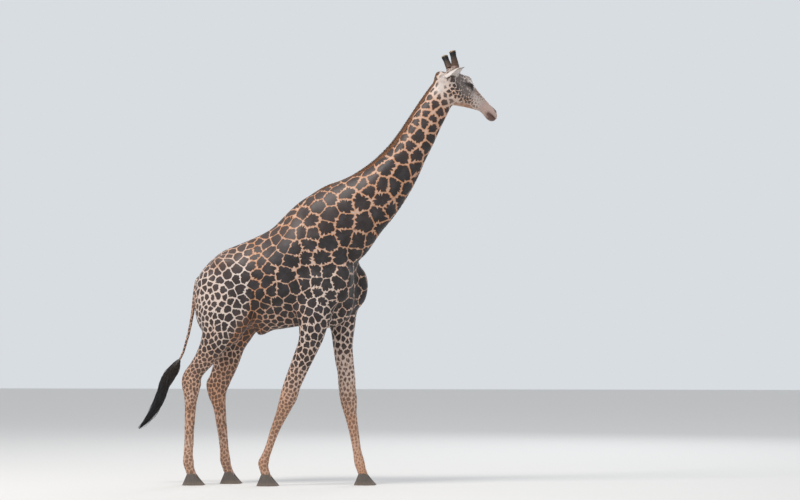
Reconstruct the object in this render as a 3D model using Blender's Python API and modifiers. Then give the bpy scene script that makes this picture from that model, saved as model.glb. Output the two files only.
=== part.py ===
"""A bull giraffe in mid-stride, at life size, as a still model in separate named pieces.

The animal faces +X and +Z is up. The flesh is modelled whole, from lofted masses that a voxel
remesh joins and a smoothing pass blends, and is then parted with thin cuts. All sizes are in metres.
"""

import math

import bmesh
import bpy
import numpy as np
from mathutils import Matrix, Vector

# ---- driving dimensions -------------------------------------------------------------------------

CUT_WIDTH = 0.0006  # the gap that parts one piece of flesh from the next
FIT_GAP = 0.0015  # what a separate piece, such as a horn, keeps clear of the flesh it grows from
FLESH_VOXEL = 0.015
SMOOTH_PASSES = 7
BROAD_PASSES = 70  # more for the trunk and neck, whose masses flow into each other
FLESH_TRIANGLES = 4000
RING_SIDES = 28  # points round a lofted section
RINGS_PER_STATION = 4

EYE_RADIUS = 0.027
OSSICONE_LENGTH = 0.178
EAR_LENGTH = 0.265
EAR_THICKNESS = 0.011
HOOF_HEIGHT = 0.125
HOOF_LENGTH = 0.245
HOOF_SLOPE = 0.080  # how far the front of a toe leans back over its height, and the heel forward
HEEL_SLOPE = 0.028
TOE_WIDTH = 0.082
TOE_GAP = 0.012

# The head's own axes: origin between the ears at the back of the skull, +X to the muzzle, +Z up.
HEAD_PLACE = (1.842, 0.07, 4.51)
HEAD_PITCH = math.radians(35)
HEAD_TURN = math.radians(26.5)
HEAD_ROLL = math.radians(-6.5)

# x, top z, bottom z, half width, narrowing of the back, narrowing of the belly
TRUNK = [
    (-0.925, 2.24, 2.02, 0.05, 0.0, 0.0),
    (-0.86, 2.37, 1.92, 0.15, 0.1, 0.1),
    (-0.74, 2.50, 1.84, 0.24, 0.25, 0.2),
    (-0.60, 2.605, 1.77, 0.29, 0.25, 0.3),
    (-0.42, 2.675, 1.72, 0.30, 0.3, 0.3),
    (-0.20, 2.77, 1.725, 0.325, 0.4, 0.3),
    (-0.04, 2.86, 1.705, 0.345, 0.5, 0.3),
    (0.10, 3.005, 1.71, 0.35, 0.55, 0.3),
    (0.25, 3.145, 1.735, 0.34, 0.6, 0.35),
    (0.42, 3.245, 1.73, 0.315, 0.6, 0.4),
    (0.58, 3.285, 1.70, 0.28, 0.55, 0.4),
    (0.72, 3.22, 1.74, 0.245, 0.5, 0.4),
    (0.82, 2.92, 1.83, 0.20, 0.3, 0.3),
    (0.89, 2.52, 1.98, 0.10, 0.0, 0.1),
]

# x, z, y, half depth, half width, from inside the chest to inside the head
NECK = [
    (0.32, 2.50, 0.0, 0.38, 0.22),
    (0.52, 2.70, 0.0, 0.43, 0.25),
    (0.695, 2.857, 0.0, 0.452, 0.25),
    (0.900, 3.026, 0.0, 0.393, 0.215),
    (1.098, 3.170, 0.003, 0.326, 0.180),
    (1.287, 3.363, 0.008, 0.270, 0.152),
    (1.428, 3.547, 0.015, 0.225, 0.132),
    (1.509, 3.681, 0.022, 0.203, 0.121),
    (1.595, 3.825, 0.031, 0.192, 0.113),
    (1.692, 4.020, 0.045, 0.175, 0.106),
    (1.796, 4.196, 0.060, 0.158, 0.100),
    (1.858, 4.325, 0.076, 0.145, 0.096),
    (1.905, 4.420, 0.092, 0.118, 0.088),
]

# along the head, top, bottom, half width, narrowing of the top, narrowing of the bottom
SKULL = [
    (-0.02, 0.03, -0.09, 0.055, 0.0, 0.0),
    (0.03, 0.080, -0.13, 0.090, 0.2, 0.2),
    (0.10, 0.140, -0.17, 0.108, 0.2, 0.45),
    (0.18, 0.172, -0.20, 0.114, 0.2, 0.6),
    (0.26, 0.178, -0.210, 0.114, 0.2, 0.6),
    (0.33, 0.162, -0.185, 0.104, 0.2, 0.55),
    (0.41, 0.142, -0.140, 0.084, 0.3, 0.5),
    (0.50, 0.122, -0.098, 0.068, 0.35, 0.35),
    (0.58, 0.104, -0.064, 0.060, 0.3, 0.3),
    (0.65, 0.093, -0.068, 0.062, 0.2, 0.2),
    (0.71, 0.070, -0.070, 0.064, 0.1, 0.15),
    (0.765, 0.036, -0.058, 0.054, 0.05, 0.1),
    (0.797, -0.002, -0.038, 0.028, 0.0, 0.0),
]

# x, z, y, half depth, half width of each leg, from inside the body down into the hoof
LEGS = {
    "foreleg_right": [
        (0.60, 2.30, -0.17, 0.20, 0.11),
        (0.53, 2.08, -0.21, 0.205, 0.125),
        (0.485, 1.92, -0.225, 0.20, 0.13),
        (0.467, 1.81, -0.225, 0.185, 0.125),
        (0.445, 1.65, -0.222, 0.150, 0.115),
        (0.408, 1.535, -0.218, 0.130, 0.104),
        (0.362, 1.43, -0.215, 0.121, 0.094),
        (0.315, 1.32, -0.212, 0.112, 0.088),
        (0.268, 1.21, -0.209, 0.107, 0.082),
        (0.223, 1.10, -0.206, 0.102, 0.080),
        (0.187, 0.99, -0.203, 0.097, 0.082),
        (0.157, 0.904, -0.201, 0.090, 0.082),
        (0.124, 0.82, -0.199, 0.078, 0.070),
        (0.085, 0.735, -0.197, 0.068, 0.058),
        (0.043, 0.64, -0.194, 0.060, 0.051),
        (0.005, 0.54, -0.192, 0.053, 0.048),
        (-0.035, 0.42, -0.189, 0.050, 0.047),
        (-0.075, 0.32, -0.187, 0.054, 0.050),
        (-0.100, 0.255, -0.185, 0.064, 0.060),
        (-0.098, 0.20, -0.183, 0.058, 0.058),
        (-0.080, 0.15, -0.181, 0.053, 0.056),
        (-0.060, 0.09, -0.180, 0.055, 0.060),
        (-0.052, 0.05, -0.180, 0.040, 0.046),
    ],
    "foreleg_left": [
        (0.70, 2.30, 0.17, 0.20, 0.11),
        (0.70, 2.06, 0.205, 0.19, 0.125),
        (0.705, 1.88, 0.212, 0.168, 0.122),
        (0.708, 1.71, 0.210, 0.145, 0.112),
        (0.710, 1.54, 0.204, 0.120, 0.098),
        (0.728, 1.375, 0.197, 0.110, 0.088),
        (0.748, 1.264, 0.191, 0.104, 0.082),
        (0.758, 1.153, 0.186, 0.104, 0.080),
        (0.767, 1.043, 0.181, 0.102, 0.082),
        (0.778, 0.932, 0.175, 0.095, 0.082),
        (0.792, 0.844, 0.170, 0.084, 0.070),
        (0.815, 0.733, 0.164, 0.072, 0.058),
        (0.838, 0.623, 0.158, 0.064, 0.051),
        (0.858, 0.513, 0.152, 0.058, 0.048),
        (0.880, 0.39, 0.146, 0.055, 0.047),
        (0.900, 0.30, 0.141, 0.060, 0.052),
        (0.912, 0.245, 0.138, 0.066, 0.060),
        (0.922, 0.20, 0.136, 0.060, 0.058),
        (0.940, 0.15, 0.134, 0.054, 0.057),
        (0.962, 0.09, 0.132, 0.056, 0.062),
        (0.970, 0.05, 0.132, 0.040, 0.046),
    ],
    "hindleg_right": [
        (-0.50, 2.36, -0.11, 0.24, 0.12),
        (-0.546, 2.20, -0.15, 0.30, 0.145),
        (-0.534, 2.04, -0.175, 0.305, 0.155),
        (-0.535, 1.87, -0.195, 0.295, 0.15),
        (-0.565, 1.73, -0.205, 0.255, 0.138),
        (-0.635, 1.60, -0.208, 0.185, 0.116),
        (-0.698, 1.49, -0.208, 0.145, 0.098),
        (-0.755, 1.40, -0.207, 0.124, 0.088),
        (-0.815, 1.32, -0.206, 0.109, 0.078),
        (-0.875, 1.245, -0.204, 0.105, 0.072),
        (-0.908, 1.18, -0.202, 0.114, 0.070),
        (-0.916, 1.11, -0.200, 0.116, 0.071),
        (-0.915, 1.04, -0.198, 0.100, 0.070),
        (-0.918, 0.956, -0.196, 0.081, 0.062),
        (-0.922, 0.87, -0.194, 0.070, 0.055),
        (-0.928, 0.76, -0.191, 0.066, 0.050),
        (-0.936, 0.62, -0.187, 0.063, 0.047),
        (-0.942, 0.45, -0.183, 0.060, 0.046),
        (-0.948, 0.33, -0.179, 0.060, 0.050),
        (-0.950, 0.255, -0.177, 0.066, 0.058),
        (-0.942, 0.205, -0.176, 0.060, 0.058),
        (-0.922, 0.15, -0.175, 0.054, 0.057),
        (-0.898, 0.09, -0.175, 0.056, 0.060),
        (-0.890, 0.05, -0.175, 0.040, 0.044),
    ],
    "hindleg_left": [
        (-0.50, 2.36, 0.11, 0.24, 0.12),
        (-0.50, 2.18, 0.15, 0.29, 0.145),
        (-0.485, 2.00, 0.175, 0.29, 0.155),
        (-0.49, 1.84, 0.19, 0.27, 0.15),
        (-0.515, 1.73, 0.195, 0.235, 0.142),
        (-0.565, 1.60, 0.200, 0.20, 0.124),
        (-0.590, 1.488, 0.203, 0.170, 0.108),
        (-0.62, 1.353, 0.203, 0.150, 0.092),
        (-0.655, 1.25, 0.202, 0.138, 0.082),
        (-0.690, 1.16, 0.200, 0.132, 0.075),
        (-0.715, 1.09, 0.198, 0.128, 0.072),
        (-0.722, 1.02, 0.195, 0.116, 0.071),
        (-0.712, 0.95, 0.193, 0.100, 0.069),
        (-0.697, 0.883, 0.190, 0.086, 0.060),
        (-0.684, 0.80, 0.187, 0.076, 0.053),
        (-0.672, 0.70, 0.184, 0.070, 0.049),
        (-0.656, 0.59, 0.180, 0.065, 0.047),
        (-0.641, 0.48, 0.176, 0.060, 0.046),
        (-0.628, 0.36, 0.171, 0.059, 0.048),
        (-0.618, 0.265, 0.168, 0.066, 0.058),
        (-0.606, 0.21, 0.167, 0.060, 0.058),
        (-0.584, 0.15, 0.166, 0.054, 0.057),
        (-0.560, 0.09, 0.165, 0.056, 0.060),
        (-0.552, 0.05, 0.165, 0.040, 0.044),
    ],
}

# name: centre x, y, z, radii x, y, z, lean about Y in degrees; a pair is given for both sides
BODY_MASSES = {
    "shoulder_blade_right": ((0.585, -0.165, 2.66), (0.17, 0.095, 0.46), -24),
    "shoulder_blade_left": ((0.665, 0.165, 2.66), (0.17, 0.095, 0.46), -24),
    "shoulder_point_right": ((0.755, -0.175, 2.24), (0.135, 0.12, 0.25), 0),
    "shoulder_point_left": ((0.865, 0.175, 2.20), (0.145, 0.12, 0.27), 0),
    "triceps_right": ((0.50, -0.225, 2.14), (0.23, 0.125, 0.30), -28),
    "triceps_left": ((0.62, 0.22, 2.14), (0.22, 0.125, 0.29), -12),
    "elbow_right": ((0.305, -0.235, 1.92), (0.060, 0.055, 0.12), 8),
    "elbow_left": ((0.545, 0.225, 1.86), (0.060, 0.055, 0.12), 0),
    "brisket": ((0.74, 0.0, 2.08), (0.15, 0.15, 0.30), 0),
    "ribs": ((0.04, 0.0, 2.24), (0.54, 0.355, 0.44), 8),
    "hip_right": ((-0.47, -0.155, 2.40), (0.24, 0.12, 0.13), 15),
    "hip_left": ((-0.47, 0.155, 2.40), (0.24, 0.12, 0.13), 15),
    "buttock_right": ((-0.785, -0.115, 2.02), (0.130, 0.115, 0.36), 0),
    "buttock_left": ((-0.745, 0.115, 2.00), (0.130, 0.115, 0.34), 0),
    "flank_fold_right": ((-0.33, -0.230, 1.81), (0.11, 0.065, 0.17), 30),
    "flank_fold_left": ((-0.27, 0.230, 1.83), (0.11, 0.065, 0.17), 30),
    "hock_point_right": ((-0.996, -0.200, 1.165), (0.034, 0.030, 0.075), 14),
    "hock_point_left": ((-0.826, 0.197, 1.120), (0.034, 0.030, 0.075), 14),
    "sheath": ((-0.145, 0.0, 1.695), (0.12, 0.050, 0.060), -22),
}

# in the head's own axes: centre, radii; those off the middle are made on both sides
HEAD_MASSES = {
    "horn_base": ((0.075, 0.066, 0.135), (0.070, 0.048, 0.055)),
    "forehead_lump": ((0.265, 0.0, 0.168), (0.072, 0.046, 0.036)),
    "orbit": ((0.302, 0.088, 0.072), (0.068, 0.040, 0.050)),
    "cheek": ((0.23, 0.068, -0.080), (0.130, 0.045, 0.115)),
    "cheekbone": ((0.40, 0.064, 0.030), (0.105, 0.024, 0.028)),
    "nostril": ((0.715, 0.034, 0.043), (0.042, 0.028, 0.030)),
    "upper_lip": ((0.757, 0.0, -0.006), (0.042, 0.050, 0.033)),
    "chin": ((0.712, 0.0, -0.062), (0.060, 0.038, 0.022)),
    "nape": ((0.00, 0.0, -0.02), (0.078, 0.072, 0.080)),
}

EYE_CENTRE = (0.308, 0.1035, 0.068)
OSSICONE_FOOT = (0.055, 0.078, 0.160)
OSSICONE_TIP = (-0.076, 0.115, 0.262)
EAR_FOOT = (0.030, 0.095, -0.020)
EAR_TIP = (0.150, 0.180, 0.215)

# x, y, z, radius
TAIL = [
    (-0.84, 0.0, 2.30, 0.046),
    (-0.893, 0.0, 2.262, 0.036),
    (-0.922, 0.0, 2.185, 0.029),
    (-0.940, 0.0, 2.045, 0.025),
    (-0.961, 0.0, 1.878, 0.022),
    (-0.994, 0.0, 1.710, 0.020),
    (-1.028, 0.0, 1.576, 0.018),
    (-1.064, 0.0, 1.460, 0.017),
    (-1.104, 0.0, 1.378, 0.017),
]
TAIL_TUFT = [
    (-1.100, 0.0, 1.380, 0.022),
    (-1.142, 0.0, 1.305, 0.060),
    (-1.190, 0.0, 1.225, 0.068),
    (-1.264, 0.0, 1.095, 0.062),
    (-1.318, 0.0, 0.985, 0.052),
    (-1.374, 0.0, 0.855, 0.043),
    (-1.432, 0.0, 0.750, 0.033),
    (-1.500, 0.0, 0.668, 0.020),
    (-1.570, 0.0, 0.614, 0.008),
]

# x, z, y of the crest's foot line and how high it stands, from the poll to the withers
MANE = [
    (1.838, 4.488, 0.072, 0.024),
    (1.765, 4.400, 0.066, 0.040),
    (1.648, 4.232, 0.054, 0.046),
    (1.530, 4.054, 0.038, 0.046),
    (1.418, 3.887, 0.025, 0.046),
    (1.304, 3.735, 0.014, 0.046),
    (1.189, 3.615, 0.007, 0.046),
    (1.073, 3.515, 0.003, 0.045),
    (0.955, 3.437, 0.0, 0.043),
    (0.838, 3.369, 0.0, 0.040),
    (0.721, 3.321, 0.0, 0.037),
    (0.605, 3.292, 0.0, 0.034),
    (0.492, 3.262, 0.0, 0.029),
    (0.380, 3.208, 0.0, 0.023),
]
MANE_HALF_THICKNESS = 0.016

# hoof name: x and y of the foot's middle, z always on the ground
HOOVES = {
    "fore_right": (-0.045, -0.180),
    "fore_left": (0.980, 0.132),
    "hind_right": (-0.882, -0.175),
    "hind_left": (-0.544, 0.165),
}

COLOURS = {
    "hide": (0.42, 0.24, 0.13, 1.0),
    "horn": (0.20, 0.13, 0.09, 1.0),
    "hoof": (0.10, 0.085, 0.075, 1.0),
    "eye": (0.012, 0.008, 0.006, 1.0),
    "hair": (0.27, 0.12, 0.05, 1.0),
    "tail_hair": (0.018, 0.018, 0.020, 1.0),
}
ROUGHNESS = {"eye": 0.08, "hoof": 0.55, "horn": 0.7}


# ---- tools --------------------------------------------------------------------------------------


def clear_scene():
    for obj in list(bpy.data.objects):
        bpy.data.objects.remove(obj)


def material(name):
    found = bpy.data.materials.get(name) or bpy.data.materials.new(name)
    found.use_nodes = True
    shader = found.node_tree.nodes["Principled BSDF"]
    shader.inputs["Base Color"].default_value = COLOURS[name]
    shader.inputs["Roughness"].default_value = ROUGHNESS.get(name, 0.85)
    return found


def new_object(name, mesh, collection):
    obj = bpy.data.objects.new(name, mesh)
    collection.objects.link(obj)
    return obj


def smooth_stations(stations, steps=RINGS_PER_STATION):
    """The stations with more put between them, on a Catmull-Rom curve through them all."""
    given = np.array(stations, float)
    ends = np.vstack([2 * given[0] - given[1], given, 2 * given[-1] - given[-2]])
    rows = []
    for i in range(1, len(ends) - 2):
        a, b, c, d = ends[i - 1 : i + 3]
        for t in np.arange(steps) / steps:
            rows.append(
                0.5 * (2 * b + (c - a) * t + (2 * a - 5 * b + 4 * c - d) * t**2 + (3 * b - a - 3 * c + d) * t**3)
            )
    rows.append(given[-1])
    return np.array(rows)


def loft(bm, rings):
    """Skins closed rings of equal length, and closes both ends with a fan to the ring's middle."""
    loops = [[bm.verts.new(p) for p in ring] for ring in rings]
    count = len(loops[0])
    for lower, upper in zip(loops, loops[1:]):
        for i in range(count):
            j = (i + 1) % count
            bm.faces.new((lower[i], lower[j], upper[j], upper[i]))
    for ring, turn in ((loops[0], True), (loops[-1], False)):
        middle = bm.verts.new(sum((v.co for v in ring), Vector()) / count)
        for i in range(count):
            pair = (ring[i], ring[(i + 1) % count])
            bm.faces.new((*(pair[::-1] if turn else pair), middle))


def section(middle, up, side, half_depth, half_width, top_pinch=0.0, low_pinch=0.0):
    """One oval ring. A pinch narrows the oval towards its top or its bottom, as a back or belly is."""
    ring = []
    for i in range(RING_SIDES):
        angle = 2 * math.pi * i / RING_SIDES
        high, wide = math.cos(angle), math.sin(angle)
        narrowed = 1 - top_pinch * max(high, 0) ** 2 - low_pinch * max(-high, 0) ** 2
        ring.append(middle + up * (half_depth * high) + side * (half_width * wide * narrowed))
    return ring


def upright_loft(bm, stations):
    """A barrel along X, from rows of x, top, bottom, half width and the two pinches."""
    up, side = Vector((0, 0, 1)), Vector((0, 1, 0))
    rings = []
    for x, top, low, half_width, top_pinch, low_pinch in smooth_stations(stations):
        middle = Vector((x, 0, (top + low) / 2))
        rings.append(section(middle, up, side, (top - low) / 2, half_width, top_pinch, low_pinch))
    loft(bm, rings)


def limb_loft(bm, stations):
    """A tube whose sections stand square to its path, from rows of x, z, y, half depth, half width."""
    rows = smooth_stations(stations)
    path = rows[:, [0, 2, 1]]
    along = np.gradient(path, axis=0)
    side = Vector((0, 1, 0))
    rings = []
    for row, point, way in zip(rows, path, along):
        up = side.cross(Vector(way)).normalized()
        rings.append(section(Vector(point), up, side, row[3], row[4]))
    loft(bm, rings)


def tube(bm, stations):
    """A round tube through rows of x, y, z, radius."""
    rows = smooth_stations(stations)
    limb_loft_rows = [(x, z, y, r, r) for x, y, z, r in rows[::RINGS_PER_STATION]]
    limb_loft(bm, limb_loft_rows)


def ellipsoid(bm, centre, radii, lean=0.0):
    turned = Matrix.Rotation(math.radians(lean), 4, "Y")
    place = Matrix.Translation(centre) @ turned @ Matrix.Diagonal((*radii, 1))
    bmesh.ops.create_uvsphere(bm, u_segments=24, v_segments=16, radius=1, matrix=place)


def mesh_of(bm, name):
    bmesh.ops.recalc_face_normals(bm, faces=bm.faces)
    mesh = bpy.data.meshes.new(name)
    bm.to_mesh(mesh)
    bm.free()
    return mesh


def evaluated_mesh(obj):
    """The object's mesh with its modifiers applied, as a plain mesh."""
    graph = bpy.context.evaluated_depsgraph_get()
    return bpy.data.meshes.new_from_object(obj.evaluated_get(graph), depsgraph=graph)


def apply_modifiers(obj):
    bpy.context.view_layer.update()
    mesh = evaluated_mesh(obj)
    obj.modifiers.clear()
    obj.data = mesh


def boolean(obj, cutter, operation):
    modifier = obj.modifiers.new(operation.title(), "BOOLEAN")
    modifier.operation = operation
    modifier.object = cutter
    modifier.solver = "EXACT"
    apply_modifiers(obj)


def keep_main_body(obj):
    """Drops the crumbs that a cut can leave beside the piece."""
    bm = bmesh.new()
    bm.from_mesh(obj.data)
    left, bodies = set(bm.verts), []
    while left:
        reached, edge_of_search = set(), [next(iter(left))]
        while edge_of_search:
            vertex = edge_of_search.pop()
            if vertex not in reached:
                reached.add(vertex)
                edge_of_search += [edge.other_vert(vertex) for edge in vertex.link_edges]
        left -= reached
        bodies.append(reached)
    biggest = max(bodies, key=len)
    bmesh.ops.delete(bm, geom=[v for v in bm.verts if v not in biggest], context="VERTS")
    bm.to_mesh(obj.data)
    bm.free()


def head_matrix():
    turn = Matrix.Rotation(HEAD_TURN, 4, "Z")
    pitch = Matrix.Rotation(HEAD_PITCH, 4, "Y")
    roll = Matrix.Rotation(HEAD_ROLL, 4, "X")
    return Matrix.Translation(HEAD_PLACE) @ turn @ pitch @ roll


def both_sides(point):
    """The point and its mirror across the head's middle, as (side name, point)."""
    x, y, z = point
    return (("right", Vector((x, -y, z))), ("left", Vector((x, y, z))))


# ---- the flesh, whole ---------------------------------------------------------------------------


def head_flesh(bm):
    made = bmesh.new()
    upright_loft(made, SKULL)
    for centre, radii in HEAD_MASSES.values():
        for side, place in both_sides(centre):
            if centre[1] or side == "left":
                ellipsoid(made, place, radii)
    made.transform(head_matrix())
    scratch = bpy.data.meshes.new("head_scratch")
    made.to_mesh(scratch)
    made.free()
    bm.from_mesh(scratch)
    bpy.data.meshes.remove(scratch)


def broad_share(point):
    """1 on the trunk and neck, falling to 0 on the legs and the head."""
    above_legs = (point.z - 1.35) / 0.35
    off_head = ((point - Vector(HEAD_PLACE)).length - 0.40) / 0.35
    if point.x > HEAD_PLACE[0]:
        off_head = 0
    return min(1.0, max(0.0, above_legs)) * min(1.0, max(0.0, off_head))


def whole_flesh(collection):
    bm = bmesh.new()
    upright_loft(bm, TRUNK)
    limb_loft(bm, NECK)
    for stations in LEGS.values():
        limb_loft(bm, stations)
    for centre, radii, lean in BODY_MASSES.values():
        ellipsoid(bm, centre, radii, lean)
    head_flesh(bm)
    flesh = new_object("flesh", mesh_of(bm, "flesh"), collection)
    remesh = flesh.modifiers.new("Join", "REMESH")
    remesh.mode = "VOXEL"
    remesh.voxel_size = FLESH_VOXEL
    blend = flesh.modifiers.new("Blend", "SMOOTH")
    blend.factor = 0.5
    blend.iterations = SMOOTH_PASSES
    apply_modifiers(flesh)
    broad = flesh.vertex_groups.new(name="broad")
    for vertex in flesh.data.vertices:
        broad.add([vertex.index], broad_share(vertex.co), "REPLACE")
    settle = flesh.modifiers.new("Settle", "SMOOTH")
    settle.factor = 0.5
    settle.iterations = BROAD_PASSES
    settle.vertex_group = "broad"
    apply_modifiers(flesh)
    thin = flesh.modifiers.new("Thin", "DECIMATE")
    thin.ratio = FLESH_TRIANGLES / (2 * len(flesh.data.polygons))
    thin.use_collapse_triangulate = True
    apply_modifiers(flesh)
    return flesh


def grown(obj, name, amount, collection):
    """A copy of the object, swollen by the amount, to cut a fitting piece with."""
    copy = new_object(name, obj.data.copy(), collection)
    copy.hide_render = True
    copy.display_type = "WIRE"
    swell = copy.modifiers.new("Swell", "DISPLACE")
    swell.strength = amount
    swell.mid_level = 0
    apply_modifiers(copy)
    return copy


# ---- parting the flesh --------------------------------------------------------------------------

# name: a point on the cut, the way to the piece that comes off, and the box that the cut stays in
CUTS = {
    "head": ((1.815, 0, 4.30), (0.93, 0.16, 0.33), (1.2, -1, 3.9), (3, 1, 5)),
    "neck_upper": ((1.45, 0, 3.70), (0.50, 0, 0.866), (0.8, -1, 3.0), (3, 1, 5)),
    "neck_lower": ((0.70, 0, 2.89), (0.838, 0, 0.545), (0.3, -1, 2.30), (3, 1, 5)),
    "foreleg_right_lower": ((0.05, 0, 0.79), (-0.36, 0, -0.93), (-0.5, -1, -1), (0.5, 0, 1.2)),
    "foreleg_left_lower": ((0.75, 0, 0.80), (0.15, 0, -0.99), (0.5, 0, -1), (1.3, 1, 1.2)),
    "foreleg_right_upper": ((0.39, 0, 1.62), (0.15, 0, -0.99), (-0.2, -1, 0.5), (0.9, 0, 1.95)),
    "foreleg_left_upper": ((0.65, 0, 1.62), (0.0, 0, -1.0), (0.35, 0, 0.5), (1.3, 1, 1.95)),
    "hindleg_right_lower": ((-0.87, 0, 1.27), (-0.60, 0, -0.80), (-1.5, -1, -1), (-0.5, 0, 1.6)),
    "hindleg_left_lower": ((-0.64, 0, 1.23), (-0.35, 0, -0.94), (-1.2, 0, -1), (-0.2, 1, 1.5)),
    "hindleg_right_upper": ((-0.58, 0, 1.99), (-0.50, 0, -0.866), (-1.5, -1, 0.8), (-0.17, 0, 2.5)),
    "hindleg_left_upper": ((-0.58, 0, 1.99), (-0.50, 0, -0.866), (-1.5, 0, 0.8), (-0.17, 1, 2.5)),
}


def cutting_block(name, point, way, low, high, setback, collection):
    """The part of a box that lies on one side of a plane, with the plane and the box set back or grown."""
    low, high = Vector(low), Vector(high)
    grow = Vector((setback, setback, setback))
    low, high = low - grow, high + grow
    bm = bmesh.new()
    place = Matrix.Translation((low + high) / 2) @ Matrix.Diagonal((*(high - low), 1))
    bmesh.ops.create_cube(bm, size=1, matrix=place)
    way = Vector(way).normalized()
    everything = bm.verts[:] + bm.edges[:] + bm.faces[:]
    bmesh.ops.bisect_plane(
        bm, geom=everything, plane_co=Vector(point) - way * setback, plane_no=way, clear_inner=True
    )
    bmesh.ops.holes_fill(bm, edges=bm.edges, sides=0)
    block = new_object(name, mesh_of(bm, name), collection)
    block.hide_render = True
    block.display_type = "WIRE"
    return block


def part_flesh(flesh, collection, cutters):
    """Takes each named piece off the flesh in turn. What is left is the trunk."""
    pieces = {}
    for name, (point, way, low, high) in CUTS.items():
        keep = cutting_block("cut_" + name, point, way, low, high, 0.0, cutters)
        clear = cutting_block("clear_" + name, point, way, low, high, CUT_WIDTH, cutters)
        piece = new_object(name, flesh.data.copy(), collection)
        boolean(piece, keep, "INTERSECT")
        boolean(flesh, clear, "DIFFERENCE")
        pieces[name] = piece
    flesh.name = "trunk"
    pieces["trunk"] = flesh
    return pieces


# ---- the separate pieces ------------------------------------------------------------------------


def eyes(head, collection, cutters):
    made = []
    for side, place in both_sides(EYE_CENTRE):
        for name, radius, home in (
            (f"eye_{side}", EYE_RADIUS, collection),
            (f"socket_{side}", EYE_RADIUS + FIT_GAP, cutters),
        ):
            bm = bmesh.new()
            centre = Matrix.Translation(head_matrix() @ place)
            bmesh.ops.create_icosphere(bm, subdivisions=2, radius=radius, matrix=centre)
            ball = new_object(name, mesh_of(bm, name), home)
            if home is cutters:
                ball.hide_render = True
                ball.display_type = "WIRE"
                boolean(head, ball, "DIFFERENCE")
            else:
                made.append(ball)
    return made


def ossicones(collection):
    """The two blunt, skin-covered horns, which thicken to a worn knob."""
    made = []
    feet, tips = both_sides(OSSICONE_FOOT), both_sides(OSSICONE_TIP)
    for (side, foot), (_, tip) in zip(feet, tips):
        way = (tip - foot).normalized()
        across = way.cross(Vector((0, 1, 0))).normalized()
        other = way.cross(across)
        profile = [
            (-0.30, 0.030), (0.0, 0.044), (0.3, 0.038), (0.6, 0.033), (0.86, 0.034), (0.96, 0.031), (1.0, 0.019),
        ]  # share of the length, radius
        rings = []
        for share, radius in profile:
            middle = foot + way * (share * OSSICONE_LENGTH)
            rings.append(
                [
                    middle + (across * math.cos(a) + other * math.sin(a)) * radius
                    for a in (2 * math.pi * i / 12 for i in range(12))
                ]
            )
        bm = bmesh.new()
        loft(bm, rings)
        bm.transform(head_matrix())
        made.append(new_object(f"ossicone_{side}", mesh_of(bm, "ossicone"), collection))
    return made


def ears(collection):
    """Leaf-shaped, cupped ears: a curled sheet thickened with Solidify."""
    rows, columns = 8, 7
    made = []
    feet, tips = both_sides(EAR_FOOT), both_sides(EAR_TIP)
    for (side, foot), (_, tip) in zip(feet, tips):
        outward = -1 if side == "right" else 1
        way = (tip - foot).normalized()
        opening = Vector((0.75, 0.55 * outward, -0.35))
        opening = (opening - way * opening.dot(way)).normalized()
        across = way.cross(opening)
        bm = bmesh.new()
        grid = []
        for r in range(rows):
            share = r / (rows - 1)
            half_width = 0.030 + 0.034 * math.sin(math.pi * min(1.0, share * 1.12) ** 0.85)
            half_width *= min(1.0, (1.02 - share) * 3.2)
            curl = math.radians(125 - 85 * share)
            line = []
            for c in range(columns):
                turn = curl * (2 * c / (columns - 1) - 1)
                radius = half_width / max(math.sin(min(curl, math.pi / 2)), 0.3)
                offset = across * (radius * math.sin(turn)) + opening * (radius * (0.6 - math.cos(turn)))
                line.append(bm.verts.new(foot + way * (share * EAR_LENGTH - 0.02) + offset))
            grid.append(line)
        for lower, upper in zip(grid, grid[1:]):
            for c in range(columns - 1):
                bm.faces.new((lower[c], lower[c + 1], upper[c + 1], upper[c]))
        bm.transform(head_matrix())
        ear = new_object(f"ear_{side}", mesh_of(bm, "ear"), collection)
        wall = ear.modifiers.new("Wall", "SOLIDIFY")
        wall.thickness = EAR_THICKNESS
        wall.offset = 0
        apply_modifiers(ear)
        made.append(ear)
    return made


def tail(collection):
    made = []
    for name, stations in (("tail", TAIL), ("tail_tuft", TAIL_TUFT)):
        bm = bmesh.new()
        tube(bm, stations)
        piece = new_object(name, mesh_of(bm, name), collection)
        thin = piece.modifiers.new("Thin", "DECIMATE")
        thin.ratio = 0.12
        apply_modifiers(piece)
        made.append(piece)
    return made


def mane(collection):
    """A low upright crest along the nape, whose foot the neck then cuts to fit."""
    rows = smooth_stations(MANE, 2)
    path = rows[:, [0, 2, 1]]
    side = Vector((0, 1, 0))
    rings = []
    for row, point, way in zip(rows, path, np.gradient(path, axis=0)):
        up = side.cross(Vector(way)).normalized()
        up = up if up.z > 0 else -up
        foot, top = Vector(point) - up * 0.035, Vector(point) + up * row[3]
        thick = side * MANE_HALF_THICKNESS
        rings.append([foot - thick, foot + thick, top + thick * 0.45, top - thick * 0.45])
    bm = bmesh.new()
    loft(bm, rings)
    return new_object("mane", mesh_of(bm, "mane"), collection)


def toe_rings(side):
    """Rings of one toe from the sole up: a rounded wedge whose front slopes back to the coronet."""
    rings = []
    for share, width_share in ((0.0, 0.98), (0.10, 1.0), (0.5, 0.93), (0.9, 0.78), (1.0, 0.68)):
        front = HOOF_LENGTH / 2 - HOOF_SLOPE * share
        back = -HOOF_LENGTH / 2 + HEEL_SLOPE * share
        ring = []
        for i in range(12):
            angle = 2 * math.pi * i / 12
            x, y = math.cos(angle), math.sin(angle)
            x = math.copysign(abs(x) ** (0.9 if x > 0 else 0.75), x)
            narrow = 1 - 0.28 * max(x, 0) ** 2
            along = (front + back) / 2 + x * (front - back) / 2
            across = y * TOE_WIDTH / 2 * width_share * narrow - side * 0.006 * share
            ring.append(Vector((along, across, share * HOOF_HEIGHT)))
        rings.append(ring)
    return rings


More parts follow.
